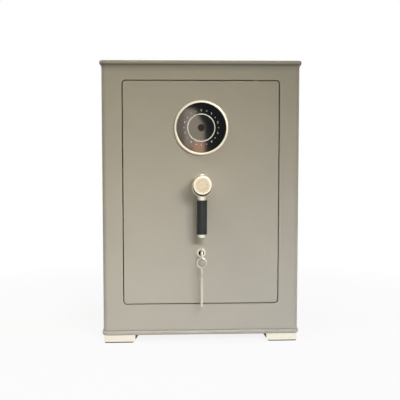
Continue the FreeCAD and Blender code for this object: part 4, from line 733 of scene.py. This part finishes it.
def finish_pieces(finishes, special):
    """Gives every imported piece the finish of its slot, or its own."""
    for row in frame["record"]["subparts"]:
        node = row["node"]
        material = special.get(node, finishes[row["material_slot"]])
        for slot in frame["nodes"][node].material_slots:
            slot.material = material


# Floor, light and camera


def seen_directly(material):
    """1 for what the camera, a mirror or glass sees, 0 for the light that falls on the object."""
    path = add(material, "LightPath").outputs
    seen = path["Is Camera Ray"]
    for kind in ("Is Glossy Ray", "Is Transmission Ray"):
        seen = calculate(material, "MAXIMUM", seen, path[kind])
    return seen


def add_stage_piece(name, shape, material):
    """A floor, card or flag, which isn't part of the object."""
    mesh = bpy.data.meshes.new(name)
    shape.to_mesh(mesh)
    shape.free()
    mesh.materials.append(material)
    piece = bpy.data.objects.new(name, mesh)
    bpy.context.scene.collection.objects.link(piece)
    return piece


def make_floor():
    """White floor that keeps the object's shadow."""
    material, shader = new_material("white_floor")
    set_shader(shader, Base_Color=FLOOR_COLOUR, Roughness=0.9)
    glow = add(material, "Emission", Color=WHITE, Strength=1.0)
    reach = length_of(material, local_point(material))
    paler = add(material, "MapRange", Value=reach, From_Min=FLOOR_NEAR, From_Max=FLOOR_FAR, To_Min=FLOOR_GLOW,
                To_Max=1.0)
    share = calculate(material, "MULTIPLY", seen_directly(material), paler.outputs["Result"])
    mixed = add(material, "MixShader", Fac=share)
    plug(material, mixed.inputs[1], shader.outputs["BSDF"])
    plug(material, mixed.inputs[2], glow.outputs["Emission"])
    set_surface(material, mixed.outputs["Shader"])
    shape = bmesh.new()
    bmesh.ops.create_grid(shape, x_segments=1, y_segments=1, size=FLOOR_HALF,
                          matrix=Matrix.Translation((0, 0, CAD_BOUNDS[0].z)))
    return add_stage_piece("floor", shape, material)


def make_world():
    """White behind the object, a softer warm light on it."""
    world = bpy.data.worlds.new("studio")
    world.use_nodes = True
    bpy.context.scene.world = world
    background = world.node_tree.nodes["Background"]
    colour = add(world, "MixRGB", Fac=seen_directly(world), Color1=AMBIENT, Color2=WHITE)
    plug(world, background.inputs["Color"], colour.outputs["Color"])


def add_card(name, corners, low_colour, high_colour, strength):
    """A card or flag that only shows in polished surfaces."""
    material, _ = new_material(name)
    height = along(material, "Z", local_point(material))
    colour = shade(material, height, low_colour, high_colour, CARD_FADE_LOW, CARD_FADE_HIGH)
    glow = add(material, "Emission", Color=colour, Strength=strength)
    set_surface(material, glow.outputs["Emission"])
    shape = bmesh.new()
    outline = [shape.verts.new(corner) for corner in corners]
    bmesh.ops.contextual_create(shape, geom=outline)
    card = add_stage_piece(name, shape, material)
    card.visible_camera = False
    card.visible_diffuse = False
    card.visible_shadow = False
    return card


def make_cards():
    """Cards behind the camera that the keypad glass reflects, and a flag on each side for the metal."""
    for name, (depth, outline, low_colour, high_colour, strength) in CARDS.items():
        add_card(name, [(x, depth, z) for x, z in outline], low_colour, high_colour, strength)
    for name, (out, colour) in FLAGS.items():
        add_card(name, [(out, y, z) for y, z in FLAG_OUTLINE], colour, colour, FLAG_STRENGTH)


def add_lamp(name, place, target, size, watts, colour, spread_deg):
    """A soft lamp aimed at a point; a small spread is a grid in front of it."""
    lamp = bpy.data.lights.new(name, "AREA")
    lamp.shape = "RECTANGLE"
    lamp.size, lamp.size_y = size
    lamp.energy = watts
    lamp.color = colour
    lamp.spread = math.radians(spread_deg)
    holder = bpy.data.objects.new(name, lamp)
    holder.location = place
    holder.rotation_euler = (Vector(target) - Vector(place)).to_track_quat("-Z", "Y").to_euler()
    holder.visible_camera = False
    holder.visible_glossy = name != UNREFLECTED_LAMP
    bpy.context.scene.collection.objects.link(holder)
    return holder


def make_lamps():
    """Two gridded lamps on the door from the right, one over the lip, and fill from above and behind."""
    for name, values in LAMPS.items():
        add_lamp(name, *values)


def make_camera():
    """Camera at the photograph's place."""
    camera = bpy.data.cameras.new("camera")
    camera.lens = CAMERA_LENS_MM
    camera.sensor_width = CAMERA_SENSOR_MM
    holder = bpy.data.objects.new("camera", camera)
    holder.location = CAMERA_PLACE
    holder.rotation_euler = (math.radians(90 - CAMERA_DOWN_DEG), 0, math.radians(-CAMERA_RIGHT_DEG))
    bpy.context.scene.collection.objects.link(holder)
    bpy.context.scene.camera = holder


finishes = make_finishes()
finish_pieces(finishes, hardware_finishes())
white_ink = printed_ink("white_print", INK_WHITE)
print_circle(white_ink)
print_marks(white_ink)
back_cover_screws(finishes["zinc_steel"])
battery_cover_arrow(finishes["battery_plastic"])

make_floor()
make_world()
make_cards()
make_lamps()
make_camera()

bpy.context.scene.view_settings.view_transform = "Standard"
